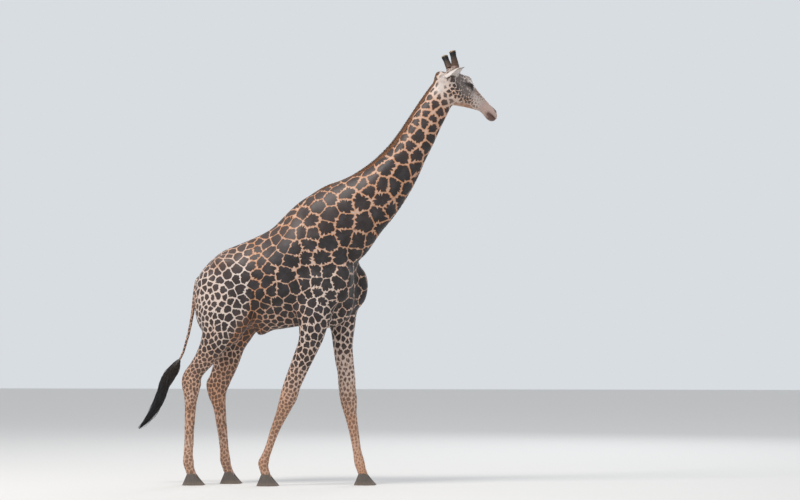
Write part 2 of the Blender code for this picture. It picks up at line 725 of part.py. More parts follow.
def hooves(collection):
    """Each foot stands on two toes with a cleft between them."""
    made = []
    for foot, (x, y) in HOOVES.items():
        for toe, way in (("outer", math.copysign(1, y)), ("inner", -math.copysign(1, y))):
            bm = bmesh.new()
            loft(bm, toe_rings(way))
            turn = Matrix.Rotation(math.radians(-4) * way, 4, "Z")
            place = Matrix.Translation((x, y + way * (TOE_WIDTH + TOE_GAP) / 2, 0))
            bm.transform(place @ turn)
            made.append(new_object(f"hoof_{foot}_{toe}", mesh_of(bm, "hoof"), collection))
    return made


# ---- the whole animal ---------------------------------------------------------------------------


def centre_on_floor(objects):
    """Moves the model so that its origin is on the floor, in the middle of its outline."""
    points = np.vstack([[v.co for v in obj.data.vertices] for obj in objects])
    low, high = points.min(axis=0), points.max(axis=0)
    shift = Matrix.Translation((-(low[0] + high[0]) / 2, -(low[1] + high[1]) / 2, -low[2]))
    for obj in objects:
        obj.data.transform(shift)


def finish(obj, slot):
    obj.data.materials.clear()
    obj.data.materials.append(material(slot))
    obj.data.shade_smooth()


def main():
    clear_scene()
    giraffe = bpy.data.collections.new("giraffe")
    cutters = bpy.data.collections.new("cutters")
    for collection in (giraffe, cutters):
        bpy.context.scene.collection.children.link(collection)
    cutters.hide_render = True

    flesh = whole_flesh(giraffe)
    swollen = grown(flesh, "swollen_flesh", FIT_GAP, cutters)
    fitted = {obj: "hide" for obj in ears(giraffe)}
    fitted.update({obj: "horn" for obj in ossicones(giraffe)})
    fitted.update({obj: "hoof" for obj in hooves(giraffe)})
    tail_bone, tuft = tail(giraffe)
    fitted[tail_bone] = "hide"
    fitted[mane(giraffe)] = "hair"
    for piece in fitted:
        boolean(piece, swollen, "DIFFERENCE")
        keep_main_body(piece)
    fitted[tuft] = "tail_hair"
    boolean(tuft, grown(tail_bone, "swollen_tail", FIT_GAP, cutters), "DIFFERENCE")
    pieces = part_flesh(flesh, giraffe, cutters)
    fitted.update({obj: "hide" for obj in pieces.values()})
    fitted.update({obj: "eye" for obj in eyes(pieces["head"], giraffe, cutters)})
    for obj, slot in fitted.items():
        finish(obj, slot)
    centre_on_floor(list(fitted))


main()
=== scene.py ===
import math

import bmesh
import bpy
import numpy as np
from mathutils import Euler, Matrix, Vector, noise
from mathutils.bvhtree import BVHTree
from mathutils.kdtree import KDTree


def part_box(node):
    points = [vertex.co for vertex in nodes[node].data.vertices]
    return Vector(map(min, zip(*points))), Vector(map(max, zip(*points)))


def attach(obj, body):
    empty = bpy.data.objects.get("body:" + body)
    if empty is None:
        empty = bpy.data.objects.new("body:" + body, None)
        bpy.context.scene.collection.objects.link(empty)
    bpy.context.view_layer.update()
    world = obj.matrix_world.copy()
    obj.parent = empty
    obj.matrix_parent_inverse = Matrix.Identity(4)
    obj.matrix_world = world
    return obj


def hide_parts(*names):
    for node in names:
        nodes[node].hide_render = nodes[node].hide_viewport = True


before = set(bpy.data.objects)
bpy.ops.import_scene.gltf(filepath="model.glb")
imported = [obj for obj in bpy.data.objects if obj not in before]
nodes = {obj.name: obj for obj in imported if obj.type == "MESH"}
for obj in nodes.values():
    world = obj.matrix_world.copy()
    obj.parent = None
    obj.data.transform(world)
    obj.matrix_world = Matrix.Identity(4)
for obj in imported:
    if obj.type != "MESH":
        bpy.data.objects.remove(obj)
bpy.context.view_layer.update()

studio = {
    "cameraPlace": (4.254, -20.840, 1.33), "cameraTurn": (93.4, 0, 9), "lens": 86.4,
    "floorSize": 160, "floorColor": (0.70, 0.68, 0.66), "skyColor": (0.80, 0.84, 0.88), "skyStrength": 0.86,
    # place, aimed at, side in metres, power, colour
    "lamps": [
        ((-6.0, -7.0, 15.0), (0.0, 0.0, 2.6), 4.5, 1700, (1.0, 0.97, 0.93)),
        ((9.0, -13.0, 6.0), (0.2, 0.0, 2.2), 8.0, 120, (1.0, 0.96, 0.92)),
        ((3.0, 12.0, 9.0), (0.0, 0.0, 2.6), 7.0, 450, (0.92, 0.96, 1.0)),
    ],
}


def plainMaterial(name, color, roughness):
    material = bpy.data.materials.new(name)
    material.use_nodes = True
    shader = material.node_tree.nodes["Principled BSDF"]
    shader.inputs["Base Color"].default_value = (*color, 1)
    shader.inputs["Roughness"].default_value = roughness
    return material


def newObject(name, mesh, material=None):
    made = bpy.data.objects.new(name, mesh)
    bpy.context.scene.collection.objects.link(made)
    if material:
        mesh.materials.clear()
        mesh.materials.append(material)
    return made


def makeStudio():
    view = bpy.data.cameras.new("camera")
    view.lens = studio["lens"]
    view.clip_end = 400
    camera = newObject("camera", view)
    camera.location = studio["cameraPlace"]
    camera.rotation_euler = [math.radians(angle) for angle in studio["cameraTurn"]]
    bpy.context.scene.camera = camera
    for place, target, side, power, color in studio["lamps"]:
        light = bpy.data.lights.new("softbox", "AREA")
        light.size = side
        light.energy = power
        light.color = color
        lamp = newObject("softbox", light)
        lamp.location = place
        lamp.rotation_euler = (Vector(target) - Vector(place)).to_track_quat("-Z", "Y").to_euler()
    world = bpy.data.worlds.new("studio")
    bpy.context.scene.world = world
    world.use_nodes = True
    background = world.node_tree.nodes["Background"]
    background.inputs["Color"].default_value = (*studio["skyColor"], 1)
    background.inputs["Strength"].default_value = studio["skyStrength"]
    bpy.ops.mesh.primitive_plane_add(size=studio["floorSize"])
    floor = bpy.context.object
    floor.name = "floor"
    floor.data.materials.append(plainMaterial("paleFloor", studio["floorColor"], 0.85))
    bpy.context.scene.view_settings.view_transform = "Standard"


makeStudio()
print("studio ready")


# --- meshes as arrays

def pointsOf(mesh):
    flat = np.empty(len(mesh.vertices) * 3, np.float32)
    mesh.vertices.foreach_get("co", flat)
    return flat.reshape(-1, 3).astype(float)


def setPoints(mesh, points):
    mesh.vertices.foreach_set("co", points.astype(np.float32).ravel())
    mesh.update()


def linksOf(mesh):
    flat = np.empty(len(mesh.edges) * 2, np.int32)
    mesh.edges.foreach_get("vertices", flat)
    return flat.reshape(-1, 2)


def normalsOf(mesh):
    flat = np.empty(len(mesh.vertices) * 3, np.float32)
    mesh.vertices.foreach_get("normal", flat)
    return flat.reshape(-1, 3).astype(float)


def eased(values, links, rounds):
    # each point moves half way to the mean of its neighbours, once a round
    count = len(values)
    here, there = np.concatenate([links, links[:, ::-1]]).T
    share = 1 / np.maximum(np.bincount(here, minlength=count), 1)[:, None]
    for _ in range(rounds):
        around = np.stack([np.bincount(here, column[there], count) for column in values.T], 1)
        values = values + 0.5 * (around * share - values)
    return values


def softened(points, links, rounds):
    # what easing took from the broad shape is given back, so limbs keep their thickness
    made = eased(points, links, rounds)
    for _ in range(2):
        made = made + eased(points - made, links, rounds)
    return made


def meshOfNodes(names, swell):
    # a welded copy of the solids, swollen a little so that neighbours overlap
    whole = bmesh.new()
    for name in names:
        part = bmesh.new()
        part.from_mesh(nodes[name].data)
        bmesh.ops.remove_doubles(part, verts=part.verts, dist=0.0001)
        part.normal_update()
        moves = [(vert, vert.normal * swell) for vert in part.verts]
        for vert, move in moves:
            vert.co += move
        piece = bpy.data.meshes.new(name)
        part.to_mesh(piece)
        part.free()
        whole.from_mesh(piece)
        bpy.data.meshes.remove(piece)
    mesh = bpy.data.meshes.new("joined")
    whole.to_mesh(mesh)
    whole.free()
    return mesh


def addBall(mesh, centre, radius):
    ball = bmesh.new()
    ball.from_mesh(mesh)
    bmesh.ops.create_icosphere(ball, subdivisions=3, radius=radius, matrix=Matrix.Translation(centre))
    ball.to_mesh(mesh)
    ball.free()


def remeshed(mesh, voxel):
    carrier = newObject("remesh", mesh)
    step = carrier.modifiers.new("Remesh", "REMESH")
    step.mode = "VOXEL"
    step.voxel_size = voxel
    graph = bpy.context.evaluated_depsgraph_get()
    made = bpy.data.meshes.new_from_object(carrier.evaluated_get(graph))
    bpy.data.objects.remove(carrier)
    middles = np.array([face.center[2] for face in made.polygons])
    print("skin triangles in the legs", int((middles < 1.75).sum()), "of", len(middles))
    return made


def joined(meshes):
    whole = bmesh.new()
    for mesh in meshes:
        whole.from_mesh(mesh)
    made = bpy.data.meshes.new("joined")
    whole.to_mesh(made)
    whole.free()
    return made


# --- the head's own frame: +X to the muzzle, +Z to the crown, -Y is the right side

head = {"place": (1.4135, 0.043, 4.51), "turn": 26.5, "pitch": 35.0, "roll": -6.5}
headFrame = (
    Matrix.Translation(head["place"]) @ Matrix.Rotation(math.radians(head["turn"]), 4, "Z")
    @ Matrix.Rotation(math.radians(head["pitch"]), 4, "Y") @ Matrix.Rotation(math.radians(head["roll"]), 4, "X")
)


def inHead(points):
    turned = np.array(headFrame.inverted())
    return points @ turned[:3, :3].T + turned[:3, 3]


def fromHead(points):
    turned = np.array(headFrame)
    return points @ turned[:3, :3].T + turned[:3, 3]


# --- the skin

skinShape = {
    "broadVoxel": 0.013, "broadRounds": 55, "fineVoxel": 0.0062, "fineRounds": 6, "thinRounds": {"ear_right": 4, "ear_left": 4, "tail": 16},
    "swell": 0.0012, "coatDepth": 0.004,
    "thinnedTo": {"legs": 54000, "body": 72000},
}
broadNodes = ["trunk", "neck_lower", "neck_upper", "head"] + [
    f"{leg}_{side}_{part}" for leg in ("foreleg", "hindleg") for side in ("right", "left") for part in ("upper", "lower")
]
thinNodes = ["ear_right", "ear_left", "tail"]
eyeCentre = (0.308, 0.1035, 0.068)
hornFoot = (0.055, 0.078, 0.150)


def broadShape():
    mesh = meshOfNodes(broadNodes, skinShape["swell"])
    for side in (-1, 1):
        x, y, z = eyeCentre
        addBall(mesh, headFrame @ Vector((x, side * (y - 0.012), z)), 0.036)
        x, y, z = hornFoot
        addBall(mesh, headFrame @ Vector((x, side * y, z - 0.012)), 0.036)
    mesh = remeshed(mesh, skinShape["broadVoxel"])
    setPoints(mesh, softened(pointsOf(mesh), linksOf(mesh), skinShape["broadRounds"]))
    points = pointsOf(mesh)
    setPoints(mesh, pressForms(points, normalsOf(mesh), points, bodyForms))
    return mesh


def thinShape(name):
    mesh = remeshed(meshOfNodes([name], skinShape["swell"]), 0.0045)
    setPoints(mesh, softened(pointsOf(mesh), linksOf(mesh), skinShape["thinRounds"][name]))
    return mesh


def makeSkin():
    broad = broadShape()
    print("broad shape", len(broad.vertices))
    whole = joined([broad] + [thinShape(name) for name in thinNodes])
    mesh = remeshed(whole, skinShape["fineVoxel"])
    setPoints(mesh, eased(pointsOf(mesh), linksOf(mesh), skinShape["fineRounds"]))
    points, normals = pointsOf(mesh), normalsOf(mesh)
    low = points[:, 2] < 1.6
    points[low] = pressForms(points[low], normals[low], points[low], limbForms())
    setPoints(mesh, points - normals * skinShape["coatDepth"])
    print("fine shape", len(mesh.vertices))
    return mesh

def regionsOf(points):
    # the head, ears and tail keep every triangle; the legs and the rest are thinned to their own counts
    places = inHead(points)
    kept = (places[:, 0] > -0.03) & (places[:, 2] > -0.21) & (points[:, 0] > 1.25)
    kept |= (points[:, 0] < -1.44) & (points[:, 2] > 1.25)
    legs = ~kept & (points[:, 2] < 1.75)
    return {"legs": legs, "body": ~kept & ~legs}


def thinned(mesh):
    for region, most in skinShape["thinnedTo"].items():
        chosen = regionsOf(pointsOf(mesh))[region]
        mesh.calc_loop_triangles()
        count = len(mesh.loop_triangles)
        corners = np.empty(count * 3, np.int32)
        mesh.loop_triangles.foreach_get("vertices", corners)
        inside = int(chosen[corners.reshape(-1, 3)].all(1).sum())
        carrier = newObject("thinned", mesh)
        carrier.vertex_groups.new(name=region).add(np.flatnonzero(chosen).tolist(), 1.0, "REPLACE")
        step = carrier.modifiers.new("Decimate", "DECIMATE")
        step.ratio = 1 - max(inside - most, 0) / count
        step.vertex_group = region
        step.use_collapse_triangulate = True
        graph = bpy.context.evaluated_depsgraph_get()
        mesh = bpy.data.meshes.new_from_object(carrier.evaluated_get(graph))
        bpy.data.objects.remove(carrier)
    return mesh


# --- forms pressed into the skin: a path, its width, and how far it stands out (or in, below zero)

bodyForms = [
    ([(1.335, 0.0, 4.515)], 0.060, -0.018),   # the poll slopes into the neck
    ([(0.00, 0.17, 3.10), (0.20, 0.27, 2.62), (0.30, 0.27, 2.30)], 0.050, 0.009),   # shoulder blade
    ([(-0.06, 0.30, 2.80), (-0.02, 0.31, 2.45), (0.00, 0.28, 2.10)], 0.045, -0.011),   # behind the shoulder
    ([(0.30, 0.20, 2.95), (0.42, 0.23, 2.62), (0.50, 0.18, 2.34)], 0.045, -0.010),   # neck meets shoulder
    ([(0.50, 0.15, 2.50), (0.51, 0.13, 2.26), (0.49, 0.12, 2.02)], 0.020, -0.016),   # fold beside the breast
    ([(0.18, 0.29, 2.28), (0.10, 0.29, 2.02)], 0.060, 0.012),   # upper arm
    ([(-0.60, 0.29, 2.40), (-0.64, 0.27, 2.10), (-0.62, 0.22, 1.82)], 0.030, -0.013),   # fold of the flank
    ([(-0.74, 0.24, 2.62)], 0.060, 0.013),   # point of the hip
    ([(-1.08, 0.27, 2.40), (-1.13, 0.26, 2.05), (-1.12, 0.22, 1.72)], 0.035, -0.010),   # back of the haunch
    ([(-0.90, 0.30, 2.10), (-0.80, 0.26, 1.80)], 0.080, 0.012),   # thigh
    ([(1.22, 0.09, 3.86), (0.94, 0.14, 3.36), (0.62, 0.20, 2.86)], 0.035, -0.009),   # groove along the neck
    ([(1.26, 0.05, 3.80), (1.02, 0.08, 3.26), (0.80, 0.10, 2.86)], 0.045, 0.006),   # windpipe
    ([(1.02, 0.09, 3.72), (0.62, 0.17, 3.26), (0.24, 0.22, 2.98)], 0.070, 0.008),   # upper neck muscle
] + [([(-0.50 + 0.11 * rib, 0.31, 2.62), (-0.56 + 0.11 * rib, 0.32, 2.30), (-0.50 + 0.10 * rib, 0.27, 2.00)],
      0.022, 0.0035) for rib in range(5)]   # ribs

# each limb's middle line: y, then x and z at the joint, down the cannon and at the fetlock
limbs = [
    {"y": -0.195, "joint": (-0.250, 0.95), "cannon": [(-0.345, 0.72), (-0.418, 0.53), (-0.495, 0.32)],
     "fetlock": (-0.520, 0.25), "front": 0.075, "back": 0.0},
    {"y": 0.165, "joint": (0.362, 0.90), "cannon": [(0.398, 0.72), (0.436, 0.52), (0.480, 0.30)],
     "fetlock": (0.492, 0.245), "front": 0.075, "back": 0.0},
    {"y": -0.192, "joint": (-1.336, 1.11), "cannon": [(-1.342, 0.87), (-1.353, 0.65), (-1.367, 0.33)],
     "fetlock": (-1.370, 0.255), "front": 0.0, "back": 0.095},
    {"y": 0.188, "joint": (-1.140, 1.03), "cannon": [(-1.116, 0.88), (-1.088, 0.65), (-1.046, 0.33)],
     "fetlock": (-1.038, 0.262), "front": 0.0, "back": 0.105},
]


def limbForms():
    forms = []
    for limb in limbs:
        y, (x, z) = limb["y"], limb["joint"]
        for side in (-1, 1):
            tendon = [(cx - 0.016, y + side * 0.048, cz) for cx, cz in limb["cannon"]]
            forms.append((tendon, 0.013, -0.0075))
            forms.append(([(x + 0.015, y + side * 0.075, z), (x + 0.01, y + side * 0.07, z - 0.05)], 0.030, 0.0045))
            forms.append(([(x - 0.01, y + side * 0.060, z - 0.115)], 0.030, -0.005))
            if limb["back"]:
                forms.append(([(x - 0.045, y + side * 0.055, z + 0.10), (x + 0.0, y + side * 0.06, z + 0.22)],
                              0.026, -0.011))
        if limb["front"]:
            forms.append(([(x + limb["front"] + 0.02, y, z + 0.06), (x + limb["front"], y, z - 0.03)], 0.036, 0.009))
            forms.append(([(x - limb["front"], y, z - 0.01)], 0.030, 0.007))
        else:
            forms.append(([(x - limb["back"], y, z + 0.07)], 0.034, 0.010))
        fx, fz = limb["fetlock"]
        forms.append(([(fx - 0.055, y, fz - 0.005)], 0.026, 0.008))
        forms.append(([(fx + 0.055, y, fz + 0.01)], 0.028, 0.004))
    return forms


headForms = [
    ([(0.052, 0.084, 0.160)], 0.046, 0.013),   # the skin's collar round each ossicone
    ([(0.275, 0.095, 0.112), (0.33, 0.090, 0.108)], 0.020, 0.006),   # brow
    ([(0.235, 0.098, 0.060), (0.30, 0.098, 0.020), (0.36, 0.085, 0.012), (0.47, 0.062, 0.006)], 0.015, 0.006),
    ([(0.40, 0.055, 0.060), (0.50, 0.050, 0.045), (0.60, 0.045, 0.035)], 0.024, -0.005),   # beside the nose
    ([(0.26, 0.085, -0.075)], 0.065, 0.007),   # jaw muscle
    ([(0.135, 0.080, 0.060), (0.155, 0.080, -0.06), (0.20, 0.07, -0.17)], 0.022, -0.008),   # behind the jaw
    ([(0.36, 0.060, -0.075), (0.50, 0.045, -0.045)], 0.020, -0.005),   # above the jaw bone
    ([(0.60, 0.050, 0.012), (0.68, 0.052, 0.004), (0.75, 0.038, 0.004)], 0.018, 0.005),   # upper lip
    ([(0.62, 0.040, -0.052), (0.70, 0.040, -0.060), (0.76, 0.022, -0.050)], 0.016, 0.004),   # lower lip
    ([(0.26, 0.0, 0.205), (0.34, 0.0, 0.185)], 0.034, 0.004),   # lump on the forehead
    ([(0.10, 0.075, 0.155), (0.20, 0.085, 0.130)], 0.024, -0.006),   # temple
]
headCuts = [
    # nostril, then the mouth's line
    ([(0.668, 0.038, 0.072), (0.692, 0.046, 0.062), (0.716, 0.046, 0.044), (0.726, 0.040, 0.030)], 0.0065, -0.011),
    ([(0.665, 0.030, 0.082), (0.700, 0.036, 0.076), (0.735, 0.036, 0.046)], 0.007, 0.004),
    ([(0.585, 0.062, -0.018), (0.66, 0.058, -0.028), (0.73, 0.046, -0.028), (0.775, 0.024, -0.024),
      (0.790, 0.0, -0.022)], 0.0055, -0.008),
]


def closeness(points, path, width):
    # 1 on the path, falling to 0 a width or two away
    path = [np.array(spot, float) for spot in path]
    nearest = np.full(len(points), 9.0)
    for start, end in zip(path, path[1:] or path):
        way = end - start
        along = np.clip(((points - start) @ way) / max(way @ way, 1e-9), 0, 1)
        nearest = np.minimum(nearest, np.linalg.norm(points - start - along[:, None] * way, axis=1))
    return np.exp(-((nearest / width) ** 2))


def bothSides(path):
    mirrored = [(x, -y, z) for x, y, z in path]
    return [path] if all(abs(y) < 1e-6 for _, y, _ in path) else [path, mirrored]


def pressForms(points, normals, places, forms):
    # places are the points as the forms' own frame sees them
    height = np.zeros(len(points))
    for path, width, rise in forms:
        for side in bothSides(path):
            height += rise * closeness(places, side, width)
    return points + normals * height[:, None]


eyeShape = {"radius": 0.0265, "centre": (0.308, 0.1015, 0.068), "lid": 0.0030, "rim": 0.0048, "halfWidth": 0.0245,
            "halfHeight": 0.0150, "forward": 0.28, "tilt": -12.0}


def eyeAxes(side):
    # looking outwards and a little ahead; the slit runs from the inner corner up and back
    out = Vector((eyeShape["forward"], side, 0.02)).normalized()
    along = Vector((0, 0, 1)).cross(out).normalized() * -side
    up = out.cross(along) * -side
    if up.z < 0:
        up = -up
    turn = math.radians(eyeShape["tilt"])
    return out, along * math.cos(turn) + up * math.sin(turn), up * math.cos(turn) - along * math.sin(turn)


def openEyes(points):
    # the lids lie over the ball, and inside their slit the skin drops behind it
    places = inHead(points)
    for side in (-1, 1):
        x, y, z = eyeShape["centre"]
        centre = np.array((x, side * y, z))
        out, along, up = (np.array(axis) for axis in eyeAxes(side))
        away = places - centre
        reach = np.linalg.norm(away, axis=1)
        near = (reach < 0.050) & (away @ out > -0.004)
        across = (away @ along) / eyeShape["halfWidth"]
        rise = (away @ up) / eyeShape["halfHeight"]
        gap = np.abs(rise) - np.maximum(1 - across ** 2, 0) * np.where(rise > 0, 1.0, 0.8)
        gap = np.where(np.abs(across) > 1, np.maximum(gap, np.abs(across) - 1 + 0.3), gap)
        unit = away / np.maximum(reach, 1e-6)[:, None]
        inside = near & (gap < 0)
        places[inside] = centre + unit[inside] * eyeShape["radius"] * 0.78
        lid = near & ~inside
        ball = eyeShape["radius"] + eyeShape["lid"] + eyeShape["rim"] * np.exp(-((gap / 0.35) ** 2))
        places[lid] = centre + unit[lid] * np.maximum(reach, ball)[lid][:, None]
        crease = closeness(places, [centre + out * 0.026 + up * 0.021 - along * 0.014,
                                    centre + out * 0.026 + up * 0.023 + along * 0.012], 0.005)
        places -= (crease * 0.0035 * near)[:, None] * out
    return fromHead(places)


def refined(mesh, chosen):
    # splits the edges whose both ends are chosen
    shape = bmesh.new()
    shape.from_mesh(mesh)
    shape.verts.ensure_lookup_table()
    wanted = set(np.flatnonzero(chosen).tolist())
    edges = [edge for edge in shape.edges if edge.verts[0].index in wanted and edge.verts[1].index in wanted]
    bmesh.ops.subdivide_edges(shape, edges=edges, cuts=1)
    bmesh.ops.triangulate(shape, faces=[face for face in shape.faces if len(face.verts) > 3])
    shape.to_mesh(mesh)
    shape.free()


def sculptHead(mesh):
    places = inHead(pointsOf(mesh))
    fine = np.zeros(len(places), bool)
    for side in (-1, 1):
        x, y, z = eyeShape["centre"]
        fine |= np.linalg.norm(places - (x, side * y, z), axis=1) < 0.046
    for path, width, _ in headCuts:
        for side in bothSides(path[:-1]):
            fine |= closeness(places, side, width * 1.6) > 0.2
    refined(mesh, fine)
    for forms in (headForms, headCuts):
        points = pointsOf(mesh)
        setPoints(mesh, pressForms(points, normalsOf(mesh), inHead(points), forms))
    setPoints(mesh, openEyes(pointsOf(mesh)))


# --- markings of the face and ears, some of them painted shade (the nostrils, the mouth's line, the ear's folds, the ear's shadow on the cheek): a path, its width, a colour and its strength

facePlaces = [
    (0.00, 0.15, 4.0, 1.2, 0.4, 0.75, 0.25, 0.05), (0.10, 0.05, 5.5, 0.7, 0.9, 0.60, 0.05, 0.05),
    (0.06, -0.08, 6.5, 3.2, 0.6, 0.70, 0.10, 0.10), (0.22, 0.02, 5.2, 0.5, 1.0, 0.80, 0.00, 0.0),
    (0.22, -0.12, 4.0, 0.9, 0.5, 0.80, 0.40, 0.0), (0.30, 0.13, 4.4, 1.3, 0.8, 0.40, 0.10, 0.2),
    (0.34, -0.01, 4.4, 0.7, 0.9, 0.65, 0.00, 0.05), (0.38, -0.09, 3.6, 0.8, 0.5, 0.75, 0.50, 0.05),
    (0.42, 0.10, 3.6, 0.8, 0.4, 0.30, 0.50, 0.2), (0.48, 0.00, 3.4, 1.4, 0.5, 0.40, 0.10, 0.4),
    (0.64, 0.00, 2.8, 2.4, 0.1, 0.10, 0.20, 1.0), (0.76, -0.02, 2.8, 2.4, 0.1, 0.10, 0.20, 1.0),
]
faceTints = [
    ([(-0.07, 0.085, 0.05), (0.00, 0.085, -0.05), (0.05, 0.070, -0.17)], 0.046, (0.62, 0.55, 0.51), 0.92),
    # dark from behind the eye towards the ear: partly the cheek's own colour, partly the ear's shadow painted onto the
    # cheek
    ([(0.14, 0.09, 0.07), (0.22, 0.10, 0.03), (0.30, 0.09, -0.02)], 0.042, (0.062, 0.042, 0.035), 0.66),
    ([(0.20, 0.0, 0.20), (0.30, 0.0, 0.19)], 0.055, (0.24, 0.15, 0.11), 0.65),
    ([(0.000, 0.030, 0.170), (0.030, 0.080, 0.165), (0.085, 0.090, 0.150)], 0.050, (0.20, 0.110, 0.078), 0.97),
    ([(0.25, 0.06, 0.15), (0.32, 0.06, 0.14)], 0.030, (0.50, 0.43, 0.40), 0.55),
    ([(0.38, 0.0, 0.155), (0.50, 0.0, 0.130), (0.60, 0.0, 0.105)], 0.050, (0.23, 0.125, 0.085), 0.90),
    ([(0.40, 0.07, 0.02), (0.56, 0.055, -0.01)], 0.040, (0.56, 0.48, 0.45), 0.60),
    ([(0.20, 0.03, -0.19), (0.34, 0.03, -0.15), (0.46, 0.02, -0.11)], 0.038, (0.37, 0.175, 0.092), 0.85),
    ([(0.60, 0.04, 0.01), (0.68, 0.04, 0.01)], 0.075, (0.47, 0.33, 0.285), 0.95),
    ([(0.66, 0.0, 0.10), (0.74, 0.0, 0.065)], 0.034, (0.40, 0.29, 0.25), 0.70),
    ([(0.56, 0.03, -0.075), (0.66, 0.03, -0.075)], 0.030, (0.46, 0.33, 0.27), 0.70),
    ([(0.67, 0.045, -0.040), (0.74, 0.035, -0.040), (0.79, 0.0, -0.035)], 0.026, (0.115, 0.050, 0.038), 0.95),
    ([(0.72, 0.02, -0.070)], 0.036, (0.130, 0.062, 0.048), 0.90),
    # the nostril's slit, near black: painted shade in the pressed-in opening
    ([(0.668, 0.038, 0.072), (0.692, 0.046, 0.062), (0.716, 0.046, 0.044), (0.726, 0.040, 0.030)], 0.012,
     (0.030, 0.020, 0.018), 0.95),
    # the mouth's line, near black: painted shade in the crease between the lips
    ([(0.600, 0.062, -0.021), (0.66, 0.058, -0.028), (0.73, 0.046, -0.028), (0.775, 0.024, -0.024),
      (0.790, 0.0, -0.022)], 0.006, (0.035, 0.014, 0.010), 0.95),
    ([(0.262, 0.105, 0.060), (0.308, 0.122, 0.068), (0.352, 0.100, 0.062)], 0.029, (0.034, 0.024, 0.021), 0.97),
    ([(0.275, 0.095, 0.108), (0.315, 0.095, 0.112)], 0.010, (0.52, 0.45, 0.41), 0.75),
    ([(0.290, 0.112, 0.022), (0.330, 0.102, 0.024)], 0.008, (0.46, 0.40, 0.37), 0.70),
]
# the ear's dark lines are partly its own hair, partly painted shade in the folds of its cup
earTints = {"foot": (0.030, 0.095, -0.020), "tip": (0.150, 0.180, 0.215), "color": (0.70, 0.64, 0.60),
            "inner": (0.40, 0.29, 0.26), "reach": 0.010,
            "lines": [(-0.020, 0.0, 0.012), (0.004, 0.0, 0.0), (0.028, 0.0, -0.014)], "lineWidth": 0.0085,
            "lineColor": (0.13, 0.095, 0.085)}


def earShare(points):
    # how much of each point belongs to an ear, from the ears' own solids
    share = np.zeros(len(points))
    for name in ("ear_right", "ear_left"):
        tree = treeOf(nodes[name].data)
        low, high = (np.array(corner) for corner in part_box(name))
        for index in np.flatnonzero(((points > low - 0.02) & (points < high + 0.02)).all(1)):
            distance = tree.find_nearest(points[index])[3]
            share[index] = max(share[index], 1 - min(distance / earTints["reach"], 1))
    return share


def treeOf(mesh):
    return BVHTree.FromPolygons([vert.co for vert in mesh.vertices], [face.vertices for face in mesh.polygons])


def faceColors(points):
    places = inHead(points)
    places[:, 1] = np.abs(places[:, 1])
    color = np.tile((0.5, 0.42, 0.38), (len(points), 1))
    strength = np.zeros(len(points))
    inFace = 1 / (1 + np.exp(-(places[:, 0] + 0.03) / 0.02))
    for path, width, tint, most in faceTints:
        share = np.minimum(closeness(places, path, width) * 1.35, 1) * most * inFace
        color = color * (1 - share[:, None]) + np.array(tint) * share[:, None]
        strength = 1 - (1 - strength) * (1 - share)
    ear = earShare(points)[:, None]
    along = closeness(places, [earTints["foot"], earTints["tip"]], 0.016)[:, None]
    inner = np.array(earTints["color"]) * (1 - 0.5 * along) + np.array(earTints["inner"]) * 0.5 * along
    color = color * (1 - ear) + inner * ear
    foot, tip = np.array(earTints["foot"]), np.array(earTints["tip"])
    # dark lines inside the ear: partly hair, partly painted shade in its folds
    for aside in earTints["lines"]:
        path = [foot + (tip - foot) * 0.22 + aside, foot + (tip - foot) * 0.80 + np.array(aside) * 0.6]
        line = closeness(places, path, earTints["lineWidth"])[:, None] * ear * 0.8
        color = color * (1 - line) + np.array(earTints["lineColor"]) * line
    return np.column_stack([color, 1 - (1 - strength) * (1 - np.minimum(ear[:, 0] * 1.6, 1) * 0.92)])


def faceValues(points, values):
    # on the face the rows are read in the head's own frame
    places = inHead(points)
    rows = np.array(facePlaces)
    apart = (places[:, None, 0] - rows[None, :, 0]) ** 2 + (places[:, None, 2] - rows[None, :, 1]) ** 2
    weight = 1 / (apart + 0.0006) ** 2
    own = (weight / weight.sum(1, keepdims=True)) @ rows[:, 2:]
    share = np.clip((places[:, 0] + 0.06) / 0.10, 0, 1) * (points[:, 0] > 1.2)
    share = (share * np.clip((places[:, 2] + 0.23 - places[:, 0] * 0.25) / 0.05, 0, 1))[:, None]
    return values * (1 - share) + own * share


# --- where each kind of marking lies, read from the side

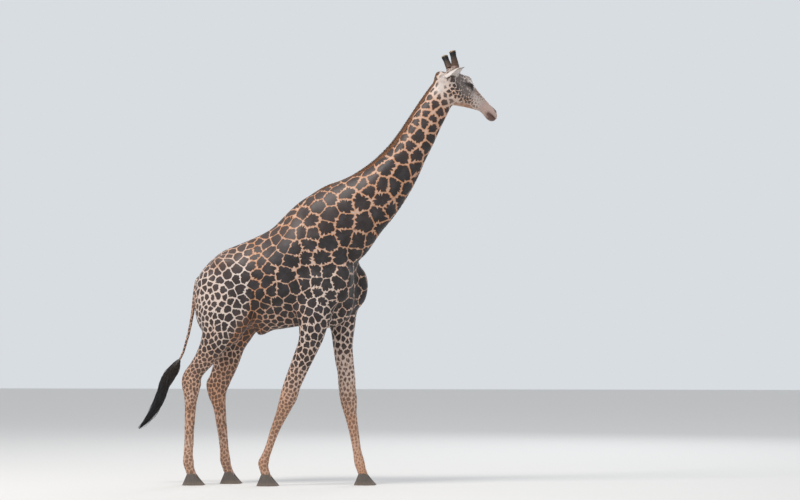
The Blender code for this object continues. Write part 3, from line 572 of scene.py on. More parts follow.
# x, z, patch size, line width, fringe (all cm after the place), then darkness, warmth of the lines, fading
coatPlaces = [
    (1.44, 4.36, 7, 2.9, 0.5, 0.55, 0.25, 0.10), (1.30, 4.12, 10, 2.9, 0.8, 0.70, 0.75, 0),
    (1.13, 3.79, 14, 3.1, 1.3, 0.85, 0.85, 0), (1.25, 3.85, 10, 2.6, 0.9, 0.95, 0.80, 0),
    (0.88, 3.40, 17, 3.2, 1.5, 0.90, 0.85, 0), (1.06, 3.29, 14, 3.0, 1.4, 1.00, 0.95, 0),
    (0.59, 3.07, 18, 3.1, 1.6, 0.90, 0.80, 0), (0.80, 2.85, 17, 2.9, 1.6, 1.00, 1.00, 0),
    (0.38, 2.85, 19, 2.7, 1.7, 0.95, 0.85, 0), (0.05, 3.22, 13, 1.7, 0.9, 0.55, 0.95, 0),
    (0.10, 2.95, 17, 2.2, 1.2, 0.80, 0.80, 0), (0.62, 3.40, 12, 2.2, 0.8, 0.60, 0.90, 0),
    (1.00, 3.90, 9, 2.0, 0.6, 0.50, 0.90, 0), (0.23, 2.57, 18, 2.5, 1.6, 1.00, 0.70, 0),
    (0.45, 2.14, 15, 1.6, 1.2, 1.00, 0.45, 0), (0.60, 2.30, 14, 1.7, 1.0, 1.00, 0.60, 0),
    (-0.27, 2.40, 17, 2.0, 1.5, 1.00, 0.60, 0), (-0.27, 2.08, 14, 1.6, 0.9, 1.00, 0.50, 0),
    (-0.45, 1.84, 7, 1.1, 0.4, 0.85, 0.45, 0), (-0.15, 1.82, 8, 1.1, 0.4, 0.85, 0.45, 0),
    (-0.55, 2.55, 13, 1.7, 0.7, 0.75, 0.70, 0), (-0.76, 2.68, 10, 1.6, 0.4, 0.40, 0.75, 0),
    (-0.37, 2.90, 11, 1.6, 0.6, 0.45, 0.90, 0), (-0.58, 2.16, 13, 1.6, 0.9, 1.00, 0.70, 0),
    # on the haunch the low darkness is partly painted sheen: its patches are made browner where light glances off them
    (-1.05, 2.54, 9, 1.5, 0.3, 0.25, 0.55, 0), (-0.94, 2.20, 10, 1.6, 0.5, 0.70, 0.05, 0),
    (-0.78, 2.20, 11, 1.6, 0.7, 0.85, 0.10, 0), (-1.15, 2.15, 7, 1.6, 0.3, 0.50, 0.10, 0),
    (-1.22, 1.90, 6, 1.2, 0.2, 0.65, 0.20, 0), (-0.95, 1.85, 8, 1.3, 0.5, 0.85, 0.15, 0),
    (-1.07, 1.54, 6, 0.9, 0.2, 0.75, 0.35, 0), (-0.70, 1.68, 7, 0.8, 0.2, 0.60, 0.70, 0.1),
    (-1.18, 1.32, 5, 0.8, 0.2, 0.55, 0.45, 0.1), (-1.38, 1.12, 4, 0.9, 0.2, 0.35, 0.50, 0.25),
    (-1.36, 0.80, 4.2, 0.8, 0.4, 0.20, 0.60, 0.40), (-1.30, 0.35, 4.0, 1.0, 0.4, 0.05, 0.55, 0.65),
    (-1.09, 1.22, 5, 0.8, 0.2, 0.30, 0.60, 0.2), (-1.10, 0.80, 4.2, 0.8, 0.4, 0.15, 0.65, 0.35),
    (0.16, 2.20, 12, 1.7, 1.1, 0.95, 0.20, 0), (0.09, 1.92, 9, 1.4, 0.7, 0.90, 0.10, 0),
    (0.02, 1.66, 7.5, 1.2, 0.5, 0.90, 0.15, 0), (-0.05, 1.38, 6.2, 1.2, 0.5, 0.75, 0.25, 0),
    (-0.16, 1.14, 5.2, 1.2, 0.4, 0.50, 0.35, 0.12), (-0.23, 0.98, 4.2, 1.1, 0.2, 0.15, 0.55, 0.35),
    (-0.33, 0.76, 4.6, 1.0, 0.5, 0.05, 0.60, 0.62), (-0.48, 0.30, 4.2, 1.2, 0.5, 0.0, 0.62, 0.82),
    (0.32, 1.66, 6.5, 1.2, 0.4, 0.85, 0.25, 0), (0.37, 1.25, 4.8, 1.4, 0.3, 0.42, 0.25, 0.2),
    (0.39, 0.96, 4.6, 1.0, 0.5, 0.10, 0.42, 0.45), (0.45, 0.60, 4.4, 1.3, 0.5, 0.0, 0.66, 0.70),
    (0.52, 0.25, 3.2, 1.3, 0.2, 0.0, 0.66, 0.90), (-1.45, 1.95, 4, 1.0, 0.2, 0.2, 0.6, 0.4),
]
patchRules = {"seed": 21, "closeness": 0.80, "nearest": 10, "classes": 6, "passes": 12, "wander": 0.016, "wanderSize": 0.16,
              "turnedAway": 0.45, "toothPitch": 0.019}


# behind this line, x at each height, the haunch's lines turn pale; in front of it they stay warm
flankLine = {"heights": (1.5, 1.85, 2.1, 2.35, 2.6, 2.75), "places": (-0.95, -0.70, -0.655, -0.655, -0.70, -0.80),
             "width": 0.012, "reach": 0.16, "shift": 0.32}


def placeValues(points):
    # the rows near a point, weighed by how close they are
    rows = np.array(coatPlaces)
    apart = (points[:, None, 0] - rows[None, :, 0]) ** 2 + (points[:, None, 2] - rows[None, :, 1]) ** 2
    weight = 1 / (apart + 0.004) ** 2
    values = (weight / weight.sum(1, keepdims=True)) @ rows[:, 2:]
    ahead = points[:, 0] - np.interp(points[:, 2], flankLine["heights"], flankLine["places"])
    side = np.tanh(ahead / flankLine["width"]) * np.exp(-((ahead / flankLine["reach"]) ** 2))
    side *= (points[:, 2] > 1.5) & (points[:, 2] < 2.8)
    values[:, 4] = np.clip(values[:, 4] + side * flankLine["shift"], 0, 1)
    return values


def spreadSeeds(points, normals, spacing):
    # vertices picked in a fixed shuffle, each keeping others out of its own patch
    tree = KDTree(len(points))
    for index, point in enumerate(points):
        tree.insert(point, index)
    tree.balance()
    taken = np.zeros(len(points), bool)
    seeds = []
    for index in np.random.default_rng(patchRules["seed"]).permutation(len(points)):
        if taken[index]:
            continue
        seeds.append(index)
        reach = tree.find_range(points[index], spacing[index] * patchRules["closeness"])
        near = np.array([found[1] for found in reach])
        taken[near[normals[near] @ normals[index] > -0.2]] = True
    return np.array(seeds)


def classesOf(touching, near, count):
    # patches that touch take different classes, so that each class is a field without seams
    beside = [{} for _ in range(count)]
    for pairs, weight in ((near, 1), (touching, 40)):
        for one, other in pairs:
            beside[one][other] = beside[other][one] = weight
    chosen = np.full(count, -1)
    order = sorted(range(count), key=lambda seed: -len(beside[seed]))
    for _ in range(patchRules["passes"]):
        for index in order:
            cost = np.zeros(patchRules["classes"])
            for other, weight in beside[index].items():
                if chosen[other] >= 0:
                    cost[chosen[other]] += weight
            if chosen[index] < 0 or cost[chosen[index]] > cost.min():
                free = np.flatnonzero(cost == cost.min())
                chosen[index] = free[index % len(free)]
    clashes = sum(chosen[one] == chosen[other] for one, other in touching)
    print(count, "patches,", clashes, "clashes")
    return chosen


def nearestSeeds(points, seedPoints):
    tree = KDTree(len(seedPoints))
    for index, point in enumerate(seedPoints):
        tree.insert(point, index)
    tree.balance()
    most = patchRules["nearest"]
    return np.array([[found[1] for found in tree.find_n(point, most)] for point in points])


def patchFields(points, normals, spacing):
    # for each class: depth inside its nearest patch, and a place on a wheel round that patch's middle
    wander = np.array([noise.noise_vector(Vector(point) / patchRules["wanderSize"]) for point in points])
    moved = points + wander * np.minimum(patchRules["wander"], spacing * 0.16)[:, None]
    seeds = spreadSeeds(points, normals, spacing)
    around = nearestSeeds(moved, moved[seeds])
    away = moved[:, None] - moved[seeds][around]
    turned = spacing * patchRules["turnedAway"] * np.clip((spacing - 0.04) / 0.08, 0.15, 1)
    aside = (normals[:, None] - normals[seeds][around]) * turned[:, None, None]
    reach = (away ** 2).sum(2) + (aside ** 2).sum(2)
    order = np.argsort(reach, 1)
    around, reach = np.take_along_axis(around, order, 1), np.take_along_axis(reach, order, 1)
    away = np.take_along_axis(away, order[:, :, None], 1)
    between = np.linalg.norm(moved[seeds][around][:, :, None] - moved[seeds][around][:, None], axis=3)
    depth = (reach[:, None] - reach[:, :, None]) / (2 * np.maximum(between, 0.01))
    depth[:, range(depth.shape[1]), range(depth.shape[1])] = 9
    depth = depth.min(2)
    touching = {tuple(sorted(pair)) for pair in around[:, :2].tolist()}
    near = {tuple(sorted(pair)) for pair in around[:, 1:3].tolist()}
    classes = classesOf(touching, near, len(seeds))
    chance = np.random.default_rng(patchRules["seed"] + 1).random((len(seeds), 4))
    teeth = spacing[seeds] * 0.5 / patchRules["toothPitch"]
    fields = []
    for kind in range(patchRules["classes"]):
        own = np.where(classes[around] == kind, depth, -9)
        best = own.argmax(1)[:, None]
        seed = np.take_along_axis(around, best, 1)[:, 0]
        ray = np.take_along_axis(away, best[:, :, None], 1)[:, 0]
        ray /= np.maximum(np.linalg.norm(ray, axis=1), 1e-4)[:, None]
        wheel = ray * teeth[seed][:, None] + chance[seed][:, :3] * 60
        fields.append(np.column_stack([wheel, np.maximum(own.max(1), -0.1) * 100]))
    return fields, chance[around[:, 0], 3]


def store(mesh, name, values):
    kind, key = {1: ("FLOAT", "value"), 3: ("FLOAT_VECTOR", "vector"), 4: ("FLOAT_COLOR", "color")}[
        1 if values.ndim == 1 else values.shape[1]]
    layer = mesh.attributes.new(name, kind, "POINT")
    layer.data.foreach_set(key, values.astype(np.float32).ravel())


def markCoat(mesh):
    points, normals = pointsOf(mesh), normalsOf(mesh)
    values = faceValues(points, placeValues(points))
    spacing = values[:, 0] / 100
    fields, tone = patchFields(points, normals, spacing)
    for kind, field in enumerate(fields):
        store(mesh, f"patch{kind}", field)
    store(mesh, "edges", np.column_stack([values[:, 1] / 2, values[:, 2], tone]))
    store(mesh, "look", values[:, 3:6])
    store(mesh, "tint", faceColors(points))


# --- node helpers

def addNode(tree, kind, settings=None, **inputs):
    node = tree.nodes.new(kind)
    for name, value in (settings or {}).items():
        setattr(node, name, value)
    for name, value in inputs.items():
        socket = node.inputs[int(name[1:])] if name[0] == "i" and name[1:].isdigit() else node.inputs[name]
        if isinstance(value, bpy.types.NodeSocket):
            tree.links.new(value, socket)
        else:
            socket.default_value = value
    return node


def math2(tree, operation, first, second=0.0, third=None, clamp=False):
    inputs = {"i0": first, "i1": second}
    if third is not None:
        inputs["i2"] = third
    return addNode(tree, "ShaderNodeMath", {"operation": operation, "use_clamp": clamp}, **inputs).outputs[0]


def mixColor(tree, factor, first, second, blend="MIX"):
    node = tree.nodes.new("ShaderNodeMix")
    node.data_type = "RGBA"
    node.blend_type = blend
    for socket, value in ((node.inputs[0], factor), (node.inputs[6], first), (node.inputs[7], second)):
        if isinstance(value, bpy.types.NodeSocket):
            tree.links.new(value, socket)
        else:
            socket.default_value = value if isinstance(value, (int, float)) else (*value, 1)
    return node.outputs[2]


def newGroup(name, inputs, outputs):
    group = bpy.data.node_groups.new(name, "ShaderNodeTree")
    for side, sockets in (("INPUT", inputs), ("OUTPUT", outputs)):
        for title, kind in sockets:
            group.interface.new_socket(name=title, in_out=side, socket_type=f"NodeSocket{kind}")
    return group, group.nodes.new("NodeGroupInput"), group.nodes.new("NodeGroupOutput")


def makeUnevenShare():
    # a share that noise pushes up and down, so that a change of colour has no clean edge
    group, start, end = newGroup("unevenShare", [("place", "Vector"), ("share", "Float"), ("scale", "Float"),
                                                 ("amount", "Float"), ("detail", "Float")], [("share", "Float")])
    uneven = addNode(group, "ShaderNodeTexNoise", Vector=start.outputs["place"], Scale=start.outputs["scale"],
                     Detail=start.outputs["detail"]).outputs[0]
    lowered = math2(group, "MULTIPLY_ADD", start.outputs["amount"], -0.5, start.outputs["share"])
    group.links.new(math2(group, "MULTIPLY_ADD", uneven, start.outputs["amount"], lowered, clamp=True),
                    end.inputs[0])
    return group


def makeStretchedGrain():
    # noise drawn out along one way: combed hair, streaks and growth rings
    group, start, end = newGroup("stretchedGrain", [("place", "Vector"), ("turn", "Vector"), ("stretch", "Vector"),
                                                    ("detail", "Float")], [("grain", "Float")])
    drawn = addNode(group, "ShaderNodeMapping", Vector=start.outputs["place"], Rotation=start.outputs["turn"],
                    Scale=start.outputs["stretch"]).outputs[0]
    grain = addNode(group, "ShaderNodeTexNoise", Vector=drawn, Scale=1.0, Detail=start.outputs["detail"])
    group.links.new(grain.outputs[0], end.inputs[0])
    return group


def shareOf(tree, place, share, scale, amount, detail=3.0):
    return addNode(tree, "ShaderNodeGroup", {"node_tree": unevenShare}, place=place, share=share, scale=scale,
                   amount=amount, detail=detail).outputs[0]


def grainOf(tree, place, stretch, detail, turn=(0, 0, 0)):
    return addNode(tree, "ShaderNodeGroup", {"node_tree": stretchedGrain}, place=place, turn=turn, stretch=stretch,
                   detail=detail).outputs[0]


def makeJaggedPatch():
    group, start, end = newGroup("jaggedPatch", [("wheel", "Vector"), ("depth", "Float"), ("fringe", "Float")],
                                 [("inside", "Float")])
    teeth = addNode(group, "ShaderNodeTexVoronoi", Vector=start.outputs["wheel"], Scale=0.62, Randomness=0.9)
    uneven = addNode(group, "ShaderNodeTexNoise", Vector=start.outputs["wheel"], Scale=0.30, Detail=2.0)
    spikes = math2(group, "POWER", math2(group, "SUBTRACT", 1.0, teeth.outputs["Distance"], clamp=True), 2.4)
    reach = math2(group, "MULTIPLY_ADD", spikes, -3.4, -0.10)
    reach = math2(group, "MULTIPLY_ADD", uneven.outputs[0], 2.0, reach)
    reach = math2(group, "MINIMUM", reach, 0.5)
    inside = math2(group, "MULTIPLY_ADD", reach, start.outputs["fringe"], start.outputs["depth"])
    group.links.new(inside, end.inputs[0])
    return group


# --- the hide

hideLook = {
    "darkPatch": (0.016, 0.012, 0.012), "brownPatch": (0.100, 0.058, 0.045), "legSpot": (0.175, 0.100, 0.066),
    "warmLine": (0.53, 0.315, 0.215), "paleLine": (0.66, 0.56, 0.50), "fringeLine": (0.44, 0.175, 0.062),
    "softEdge": 0.20,
    "roughness": 0.47, "specular": 0.38, "sheen": 0.05, "hairBump": 0.30, "combed": 2.25,
}


def makeHide():
    material = bpy.data.materials.new("hide")
    material.use_nodes = True
    tree = material.node_tree
    shader = tree.nodes["Principled BSDF"]
    look = hideLook
    jagged = makeJaggedPatch()
    edges = addNode(tree, "ShaderNodeAttribute", {"attribute_name": "edges"})
    lineHalf, fringe, tone = addNode(tree, "ShaderNodeSeparateXYZ", i0=edges.outputs["Vector"]).outputs
    kinds = addNode(tree, "ShaderNodeAttribute", {"attribute_name": "look"})
    dark, warm, faded = addNode(tree, "ShaderNodeSeparateXYZ", i0=kinds.outputs["Vector"]).outputs
    inside = None
    for kind in range(patchRules["classes"]):
        field = addNode(tree, "ShaderNodeAttribute", {"attribute_name": f"patch{kind}"})
        patch = addNode(tree, "ShaderNodeGroup", {"node_tree": jagged}, wheel=field.outputs["Vector"],
                        depth=field.outputs["Alpha"], fringe=fringe).outputs[0]
        inside = patch if inside is None else math2(tree, "MAXIMUM", inside, patch)
    over = math2(tree, "SUBTRACT", inside, lineHalf)
    mask = addNode(tree, "ShaderNodeMapRange", {"interpolation_type": "SMOOTHSTEP"}, Value=over,
                   i1=-look["softEdge"], i2=look["softEdge"]).outputs[0]
    place = addNode(tree, "ShaderNodeTexCoord").outputs["Object"]
    hair = grainOf(tree, place, (60.0, 330.0, 330.0), 2.0, (0, look["combed"], 0))
    spot = mixColor(tree, tone, look["brownPatch"], (0.080, 0.042, 0.030))
    deep = shareOf(tree, place, dark, 3.0, 0.5)
    # painted sheen: noise turns blotches of the dark patches a lighter blue-grey, standing in for light glancing off
    # the coat
    paintedSheen = addNode(tree, "ShaderNodeTexNoise", Vector=place, Scale=9.0, Detail=4.0, Roughness=0.6).outputs[0]
    paintedSheen = addNode(tree, "ShaderNodeMapRange", Value=paintedSheen, i1=0.45, i2=0.75, i3=0.0, i4=0.55).outputs[0]
    patchColor = mixColor(tree, deep, spot, mixColor(tree, paintedSheen, look["darkPatch"], (0.070, 0.060, 0.068)))
    patchColor = mixColor(tree, faded, patchColor, look["legSpot"])
    lineWarm = shareOf(tree, place, warm, 3.0, 0.5)
    lineColor = mixColor(tree, lineWarm, look["paleLine"], look["warmLine"])
    strength = math2(tree, "MULTIPLY", mask, math2(tree, "SUBTRACT", 1.0, math2(tree, "MULTIPLY", faded, 0.35)))
    besidePatch = addNode(tree, "ShaderNodeMapRange", Value=over, i1=-1.3, i2=-0.1).outputs[0]
    besidePatch = math2(tree, "MULTIPLY", math2(tree, "MULTIPLY", besidePatch, lineWarm), 1.05, clamp=True)
    lineColor = mixColor(tree, besidePatch, lineColor, look["fringeLine"])
    color = mixColor(tree, strength, lineColor, patchColor)
    tint = addNode(tree, "ShaderNodeAttribute", {"attribute_name": "tint"})
    color = mixColor(tree, tint.outputs["Alpha"], color, tint.outputs["Color"])
    shadeFactor = math2(tree, "MULTIPLY_ADD", hair, 0.5, 0.75)
    shade = addNode(tree, "ShaderNodeCombineXYZ", i0=shadeFactor, i1=shadeFactor, i2=shadeFactor).outputs[0]
    color = mixColor(tree, 1.0, color, shade, "MULTIPLY")
    tree.links.new(color, shader.inputs["Base Color"])
    bump = addNode(tree, "ShaderNodeBump", Strength=look["hairBump"], Distance=0.002, Height=hair)
    tree.links.new(bump.outputs[0], shader.inputs["Normal"])
    shader.inputs["Roughness"].default_value = look["roughness"]
    shader.inputs["Specular IOR Level"].default_value = look["specular"]
    shader.inputs["Sheen Weight"].default_value = look["sheen"]
    return material


# --- hair as solid mesh: bristles set on points, and locks that follow lines

def makeBristleTree():
    tree = bpy.data.node_groups.new("bristles", "GeometryNodeTree")
    for title, kind in (("Geometry", "Geometry"), ("Sides", "Int"), ("Width", "Float"), ("Material", "Material")):
        tree.interface.new_socket(name=title, in_out="INPUT", socket_type=f"NodeSocket{kind}")
    tree.interface.new_socket(name="Geometry", in_out="OUTPUT", socket_type="NodeSocketGeometry")
    start, end = tree.nodes.new("NodeGroupInput"), tree.nodes.new("NodeGroupOutput")
    size = addNode(tree, "GeometryNodeInputNamedAttribute", {"data_type": "FLOAT"}, Name="size").outputs[0]
    lie = addNode(tree, "GeometryNodeInputNamedAttribute", {"data_type": "FLOAT_VECTOR"}, Name="lie").outputs[0]
    root = addNode(tree, "GeometryNodeInputNamedAttribute", {"data_type": "FLOAT_VECTOR"}, Name="rootPlace").outputs[0]
    spike = addNode(tree, "GeometryNodeMeshCone", {"fill_type": "NGON"}, Vertices=start.outputs["Sides"],
                    **{"Radius Top": 0.0, "Radius Bottom": start.outputs["Width"], "Depth": 1.0})
    turn = addNode(tree, "FunctionNodeAlignRotationToVector", {"axis": "Z"}, Vector=lie).outputs[0]
    scale = addNode(tree, "ShaderNodeCombineXYZ", i0=size, i1=size, i2=size).outputs[0]
    placed = addNode(tree, "GeometryNodeInstanceOnPoints", Points=start.outputs["Geometry"],
                     Instance=spike.outputs["Mesh"], Rotation=turn, Scale=scale)
    real = addNode(tree, "GeometryNodeRealizeInstances", Geometry=placed.outputs[0])
    corner = addNode(tree, "GeometryNodeInputIndex").outputs[0]
    spread = []
    for step in (1.0, 2.0):
        share = math2(tree, "MODULO", math2(tree, "MULTIPLY", corner, 0.381966 * step), 1.0)
        spread.append(math2(tree, "MULTIPLY", share, 0.003))
    patch = addNode(tree, "ShaderNodeCombineXYZ", i0=spread[0], i1=spread[1]).outputs[0]
    unwrapped = addNode(tree, "ShaderNodeVectorMath", {"operation": "ADD"}, i0=root, i1=patch).outputs[0]
    stored = addNode(tree, "GeometryNodeStoreNamedAttribute", {"data_type": "FLOAT2", "domain": "CORNER"},
                     Geometry=real.outputs[0], Name="OFBake", Value=unwrapped)
    dressed = addNode(tree, "GeometryNodeSetMaterial", Geometry=stored.outputs[0],
                      Material=start.outputs["Material"])
    tree.links.new(dressed.outputs[0], end.inputs[0])
    return tree


def makeLockTree():
    tree = bpy.data.node_groups.new("locks", "GeometryNodeTree")
    for title, kind in (("Geometry", "Geometry"), ("Sides", "Int"), ("Material", "Material")):
        tree.interface.new_socket(name=title, in_out="INPUT", socket_type=f"NodeSocket{kind}")
    tree.interface.new_socket(name="Geometry", in_out="OUTPUT", socket_type="NodeSocketGeometry")
    start, end = tree.nodes.new("NodeGroupInput"), tree.nodes.new("NodeGroupOutput")
    size = addNode(tree, "GeometryNodeInputNamedAttribute", {"data_type": "FLOAT"}, Name="size").outputs[0]
    root = addNode(tree, "GeometryNodeInputNamedAttribute", {"data_type": "FLOAT_VECTOR"}, Name="rootPlace").outputs[0]
    lines = addNode(tree, "GeometryNodeMeshToCurve", Mesh=start.outputs["Geometry"])
    ring = addNode(tree, "GeometryNodeCurvePrimitiveCircle", Resolution=start.outputs["Sides"], Radius=1.0)
    tubes = addNode(tree, "GeometryNodeCurveToMesh", Curve=lines.outputs[0], Scale=size,
                    **{"Profile Curve": ring.outputs[0], "Fill Caps": True})
    corner = addNode(tree, "GeometryNodeInputIndex").outputs[0]
    spread = []
    for step in (1.0, 2.0):
        share = math2(tree, "MODULO", math2(tree, "MULTIPLY", corner, 0.381966 * step), 1.0)
        spread.append(math2(tree, "MULTIPLY", share, 0.003))
    patch = addNode(tree, "ShaderNodeCombineXYZ", i0=spread[0], i1=spread[1]).outputs[0]
    unwrapped = addNode(tree, "ShaderNodeVectorMath", {"operation": "ADD"}, i0=root, i1=patch).outputs[0]
    stored = addNode(tree, "GeometryNodeStoreNamedAttribute", {"data_type": "FLOAT2", "domain": "CORNER"},
                     Geometry=tubes.outputs[0], Name="OFBake", Value=unwrapped)
    real = addNode(tree, "GeometryNodeRealizeInstances", Geometry=stored.outputs[0])
    dressed = addNode(tree, "GeometryNodeSetMaterial", Geometry=real.outputs[0],
                      Material=start.outputs["Material"])
    tree.links.new(dressed.outputs[0], end.inputs[0])
    return tree


def grown(name, carrier, tree, settings):
    # runs a tree on a carrier of roots or lines, and keeps the plain mesh
    holder = newObject(name, carrier)
    step = holder.modifiers.new("Hair", "NODES")
    step.node_group = tree
    for item in tree.interface.items_tree:
        if item.in_out == "INPUT" and item.name in settings:
            step[item.identifier] = settings[item.name]
    holder.update_tag()
    graph = bpy.context.evaluated_depsgraph_get()
    made = bpy.data.meshes.new_from_object(holder.evaluated_get(graph))
    holder.modifiers.clear()
    holder.data = made
    made.shade_smooth()
    if "facing" in made.attributes:
        # tufts take the light as the skin under them does
        facing = attributeOf(made, "facing")
        facing /= np.maximum(np.linalg.norm(facing, axis=1), 1e-6)[:, None]
        made.normals_split_custom_set_from_vertices(facing.tolist())
        made.attributes.remove(made.attributes["facing"])
    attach(holder, "root")
    return holder


def rootsMesh(points, attributes):
    mesh = bpy.data.meshes.new("roots")
    mesh.from_pydata(points, [], [])
    for name, values in attributes.items():
        store(mesh, name, values)
    return mesh


def linesMesh(paths, attributes):
    # paths is lines x points x 3
    count, length = paths.shape[:2]
    index = np.arange(count * length).reshape(count, length)
    edges = np.stack([index[:, :-1].ravel(), index[:, 1:].ravel()], 1)
    mesh = bpy.data.meshes.new("lines")
    mesh.from_pydata(paths.reshape(-1, 3), edges, [])
    for name, values in attributes.items():
        store(mesh, name, values)
    return mesh


# --- the short coat

coatLook = {"count": 230000, "sides": 3, "width": 0.070, "length": 0.014, "rise": 0.12, "seed": 5}
# each piece takes the roots that the ones before it left
coatPieces = {
    "coatHead": lambda p: (p[:, 0] > 1.2) & (p[:, 2] > 4.0) & (inHead(p)[:, 0] > -0.02),
    "coatNeck": lambda p: (p[:, 0] > 0.55) & (p[:, 2] > 2.4),
    "coatForelegs": lambda p: (p[:, 2] < 1.75) & (p[:, 0] > -0.68),
    "coatHindlegs": lambda p: p[:, 2] < 1.75,
    "coatShoulders": lambda p: p[:, 0] > 0.0,
    "coatFlanks": lambda p: p[:, 0] > -0.70,
    "coatRump": lambda p: p[:, 0] < 9,
}
# path, width, how much longer the hair is there
longerHair = [
    ([(-0.65, 0.0, 1.74), (-0.20, 0.0, 1.78), (0.20, 0.0, 1.86)], 0.10, 0.9),   # under the belly
    ([(0.52, 0.0, 2.45), (0.50, 0.0, 2.0)], 0.10, 0.8),   # breast
    ([(0.55, 0.0, 2.55), (1.05, 0.0, 3.15), (1.33, 0.0, 3.80)], 0.09, 0.7),   # throat
    ([(-1.46, -0.20, 1.18), (-1.42, -0.20, 0.95)], 0.06, 0.5),   # back of the hocks
    ([(-1.34, 0.16, 1.18), (-1.24, 0.16, 0.95)], 0.06, 0.5),
]


def coatLie(points, normals):
    # backwards along the body, down the neck and legs, up the face
    low = np.clip((2.1 - points[:, 2]) / 0.5, 0, 1)[:, None]
    neck = np.clip((points[:, 0] - 0.2) / 0.5, 0, 1)[:, None]
    way = np.array((-0.85, 0, -0.5)) * (1 - neck) + np.array((-0.62, 0, -0.78)) * neck
    way = way * (1 - low) + np.array((-0.12, 0, -1.0)) * low
    back = -np.array(headFrame)[:3, 0]
    face = (inHead(points)[:, :1] > 0.02) & (points[:, :1] > 1.2)
    way = np.where(face, back, way)
    way = way - normals * (way * normals).sum(1, keepdims=True)
    return way / np.maximum(np.linalg.norm(way, axis=1), 1e-6)[:, None]


def triangleData(mesh):
    mesh.calc_loop_triangles()
    flat = np.empty(len(mesh.loop_triangles) * 3, np.int32)
    mesh.loop_triangles.foreach_get("vertices", flat)
    loops = np.empty(len(mesh.loop_triangles) * 3, np.int32)
    mesh.loop_triangles.foreach_get("loops", loops)
    return flat.reshape(-1, 3), loops.reshape(-1, 3)


def attributeOf(mesh, name):
    layer = mesh.attributes[name]
    key, width = {"FLOAT": ("value", 1), "FLOAT_VECTOR": ("vector", 3), "FLOAT_COLOR": ("color", 4)}[layer.data_type]
    flat = np.empty(len(layer.data) * width, np.float32)
    layer.data.foreach_get(key, flat)
    return flat.reshape(-1, width) if width > 1 else flat


def unwrap(piece):
    bpy.context.view_layer.objects.active = piece
    piece.select_set(True)
    piece.data.uv_layers.new(name="OFBake")
    bpy.ops.object.mode_set(mode="EDIT")
    bpy.ops.mesh.select_all(action="SELECT")
    bpy.ops.uv.smart_project(angle_limit=1.15, island_margin=0.002)
    bpy.ops.object.mode_set(mode="OBJECT")
    piece.select_set(False)


def uvOf(mesh):
    flat = np.empty(len(mesh.loops) * 2, np.float32)
    mesh.uv_layers["OFBake"].uv.foreach_get("vector", flat)
    return flat.reshape(-1, 2)


markNames = [f"patch{kind}" for kind in range(patchRules["classes"])] + ["edges", "look", "tint"]


def growCoat(skin, material, tree):
    mesh = skin.data
    points, normals = pointsOf(mesh), normalsOf(mesh)
    faces, loops = triangleData(mesh)
    corners = points[faces]
    area = np.linalg.norm(np.cross(corners[:, 1] - corners[:, 0], corners[:, 2] - corners[:, 0]), axis=1) / 2
    middle = corners.mean(1)
    face = (inHead(middle)[:, 0] > 0.02) & (middle[:, 0] > 1.2)
    feet = middle[:, 2] < 0.5
    longer = 1 + sum(closeness(middle, path, width) * more for path, width, more in longerHair)
    longer += 1.6 * np.exp(-((middle[:, 2] - 0.15) / 0.02) ** 2)
    length = coatLook["length"] * longer * np.where(face, 0.45, np.where(feet, 0.6, 1.0))
    weight = area / np.minimum(length / coatLook["length"], 1) ** 1.3
    chance = np.random.default_rng(coatLook["seed"])
    tail = np.cumsum(weight) / weight.sum()
    picked = np.searchsorted(tail, chance.random(coatLook["count"]))
    share = np.sort(chance.random((len(picked), 2)), 1)
    share = np.column_stack([share[:, 0], share[:, 1] - share[:, 0], 1 - share[:, 1]])
    blend = lambda values: (values[faces[picked]] * share[:, :, None]).sum(1)
    roots, facing = blend(points), blend(normals)
    uv = (uvOf(mesh)[loops[picked]] * share[:, :, None]).sum(1)
    lie = coatLie(roots, facing) + facing * coatLook["rise"] + chance.normal(0, 0.11, roots.shape)
    lie /= np.linalg.norm(lie, axis=1)[:, None]
    size = length[picked] * chance.uniform(0.75, 1.2, len(picked))
    values = {"lie": lie, "size": size, "facing": facing, "rootPlace": np.column_stack([uv, np.zeros(len(uv))])}
    places = inHead(roots)
    bald = ((places[:, 0] > 0.60) & (roots[:, 2] > 3.9)) | (values["size"] < 0.002)
    for side in (-1, 1):
        x, y, z = eyeShape["centre"]
        bald |= np.linalg.norm(places - (x, side * y, z), axis=1) < 0.036
    for name in markNames:
        values[name] = blend(attributeOf(mesh, name))
    left = ~bald
    for name, wanted in coatPieces.items():
        mine = left & wanted(roots)
        left &= ~mine
        carrier = rootsMesh(roots[mine] - facing[mine] * 0.002, {key: value[mine] for key, value in values.items()})
        piece = grown(name, carrier, tree, {"Sides": coatLook["sides"], "Width": coatLook["width"],
                                            "Material": material})
        print(name, len(piece.data.polygons))


# --- mane and tail tuft

maneLook = {"stations": 520, "across": 7, "halfWidth": 0.013, "steps": 4, "size": 0.0026, "seed": 8,
            "start": (-0.05, 3.20), "end": (1.335, 4.445), "end3": (1.33, 0.022, 4.45), "poll": (1.43, 0.045, 4.56), "pollStations": 36,
            "startRows": 70, "endRows": 18}
tuftLook = {"locks": 850, "steps": 13, "size": 0.0034, "wave": 0.006, "seed": 3, "stations": 14}


def hairMaterial(name, root, middle, tip, roughness):
    material = bpy.data.materials.new(name)
    material.use_nodes = True
    tree = material.node_tree
    shader = tree.nodes["Principled BSDF"]
    along = addNode(tree, "ShaderNodeAttribute", {"attribute_name": "along"}).outputs["Fac"]
    place = addNode(tree, "ShaderNodeTexCoord").outputs["Object"]
    ramp = tree.nodes.new("ShaderNodeValToRGB")
    tree.links.new(shareOf(tree, place, along, 38.0, 0.5), ramp.inputs[0])
    ramp.color_ramp.elements[0].color = (*root, 1)
    ramp.color_ramp.elements[1].color = (*tip, 1)
    ramp.color_ramp.elements.new(0.55).color = (*middle, 1)
    tree.links.new(ramp.outputs[0], shader.inputs["Base Color"])
    shader.inputs["Roughness"].default_value = roughness
    return material


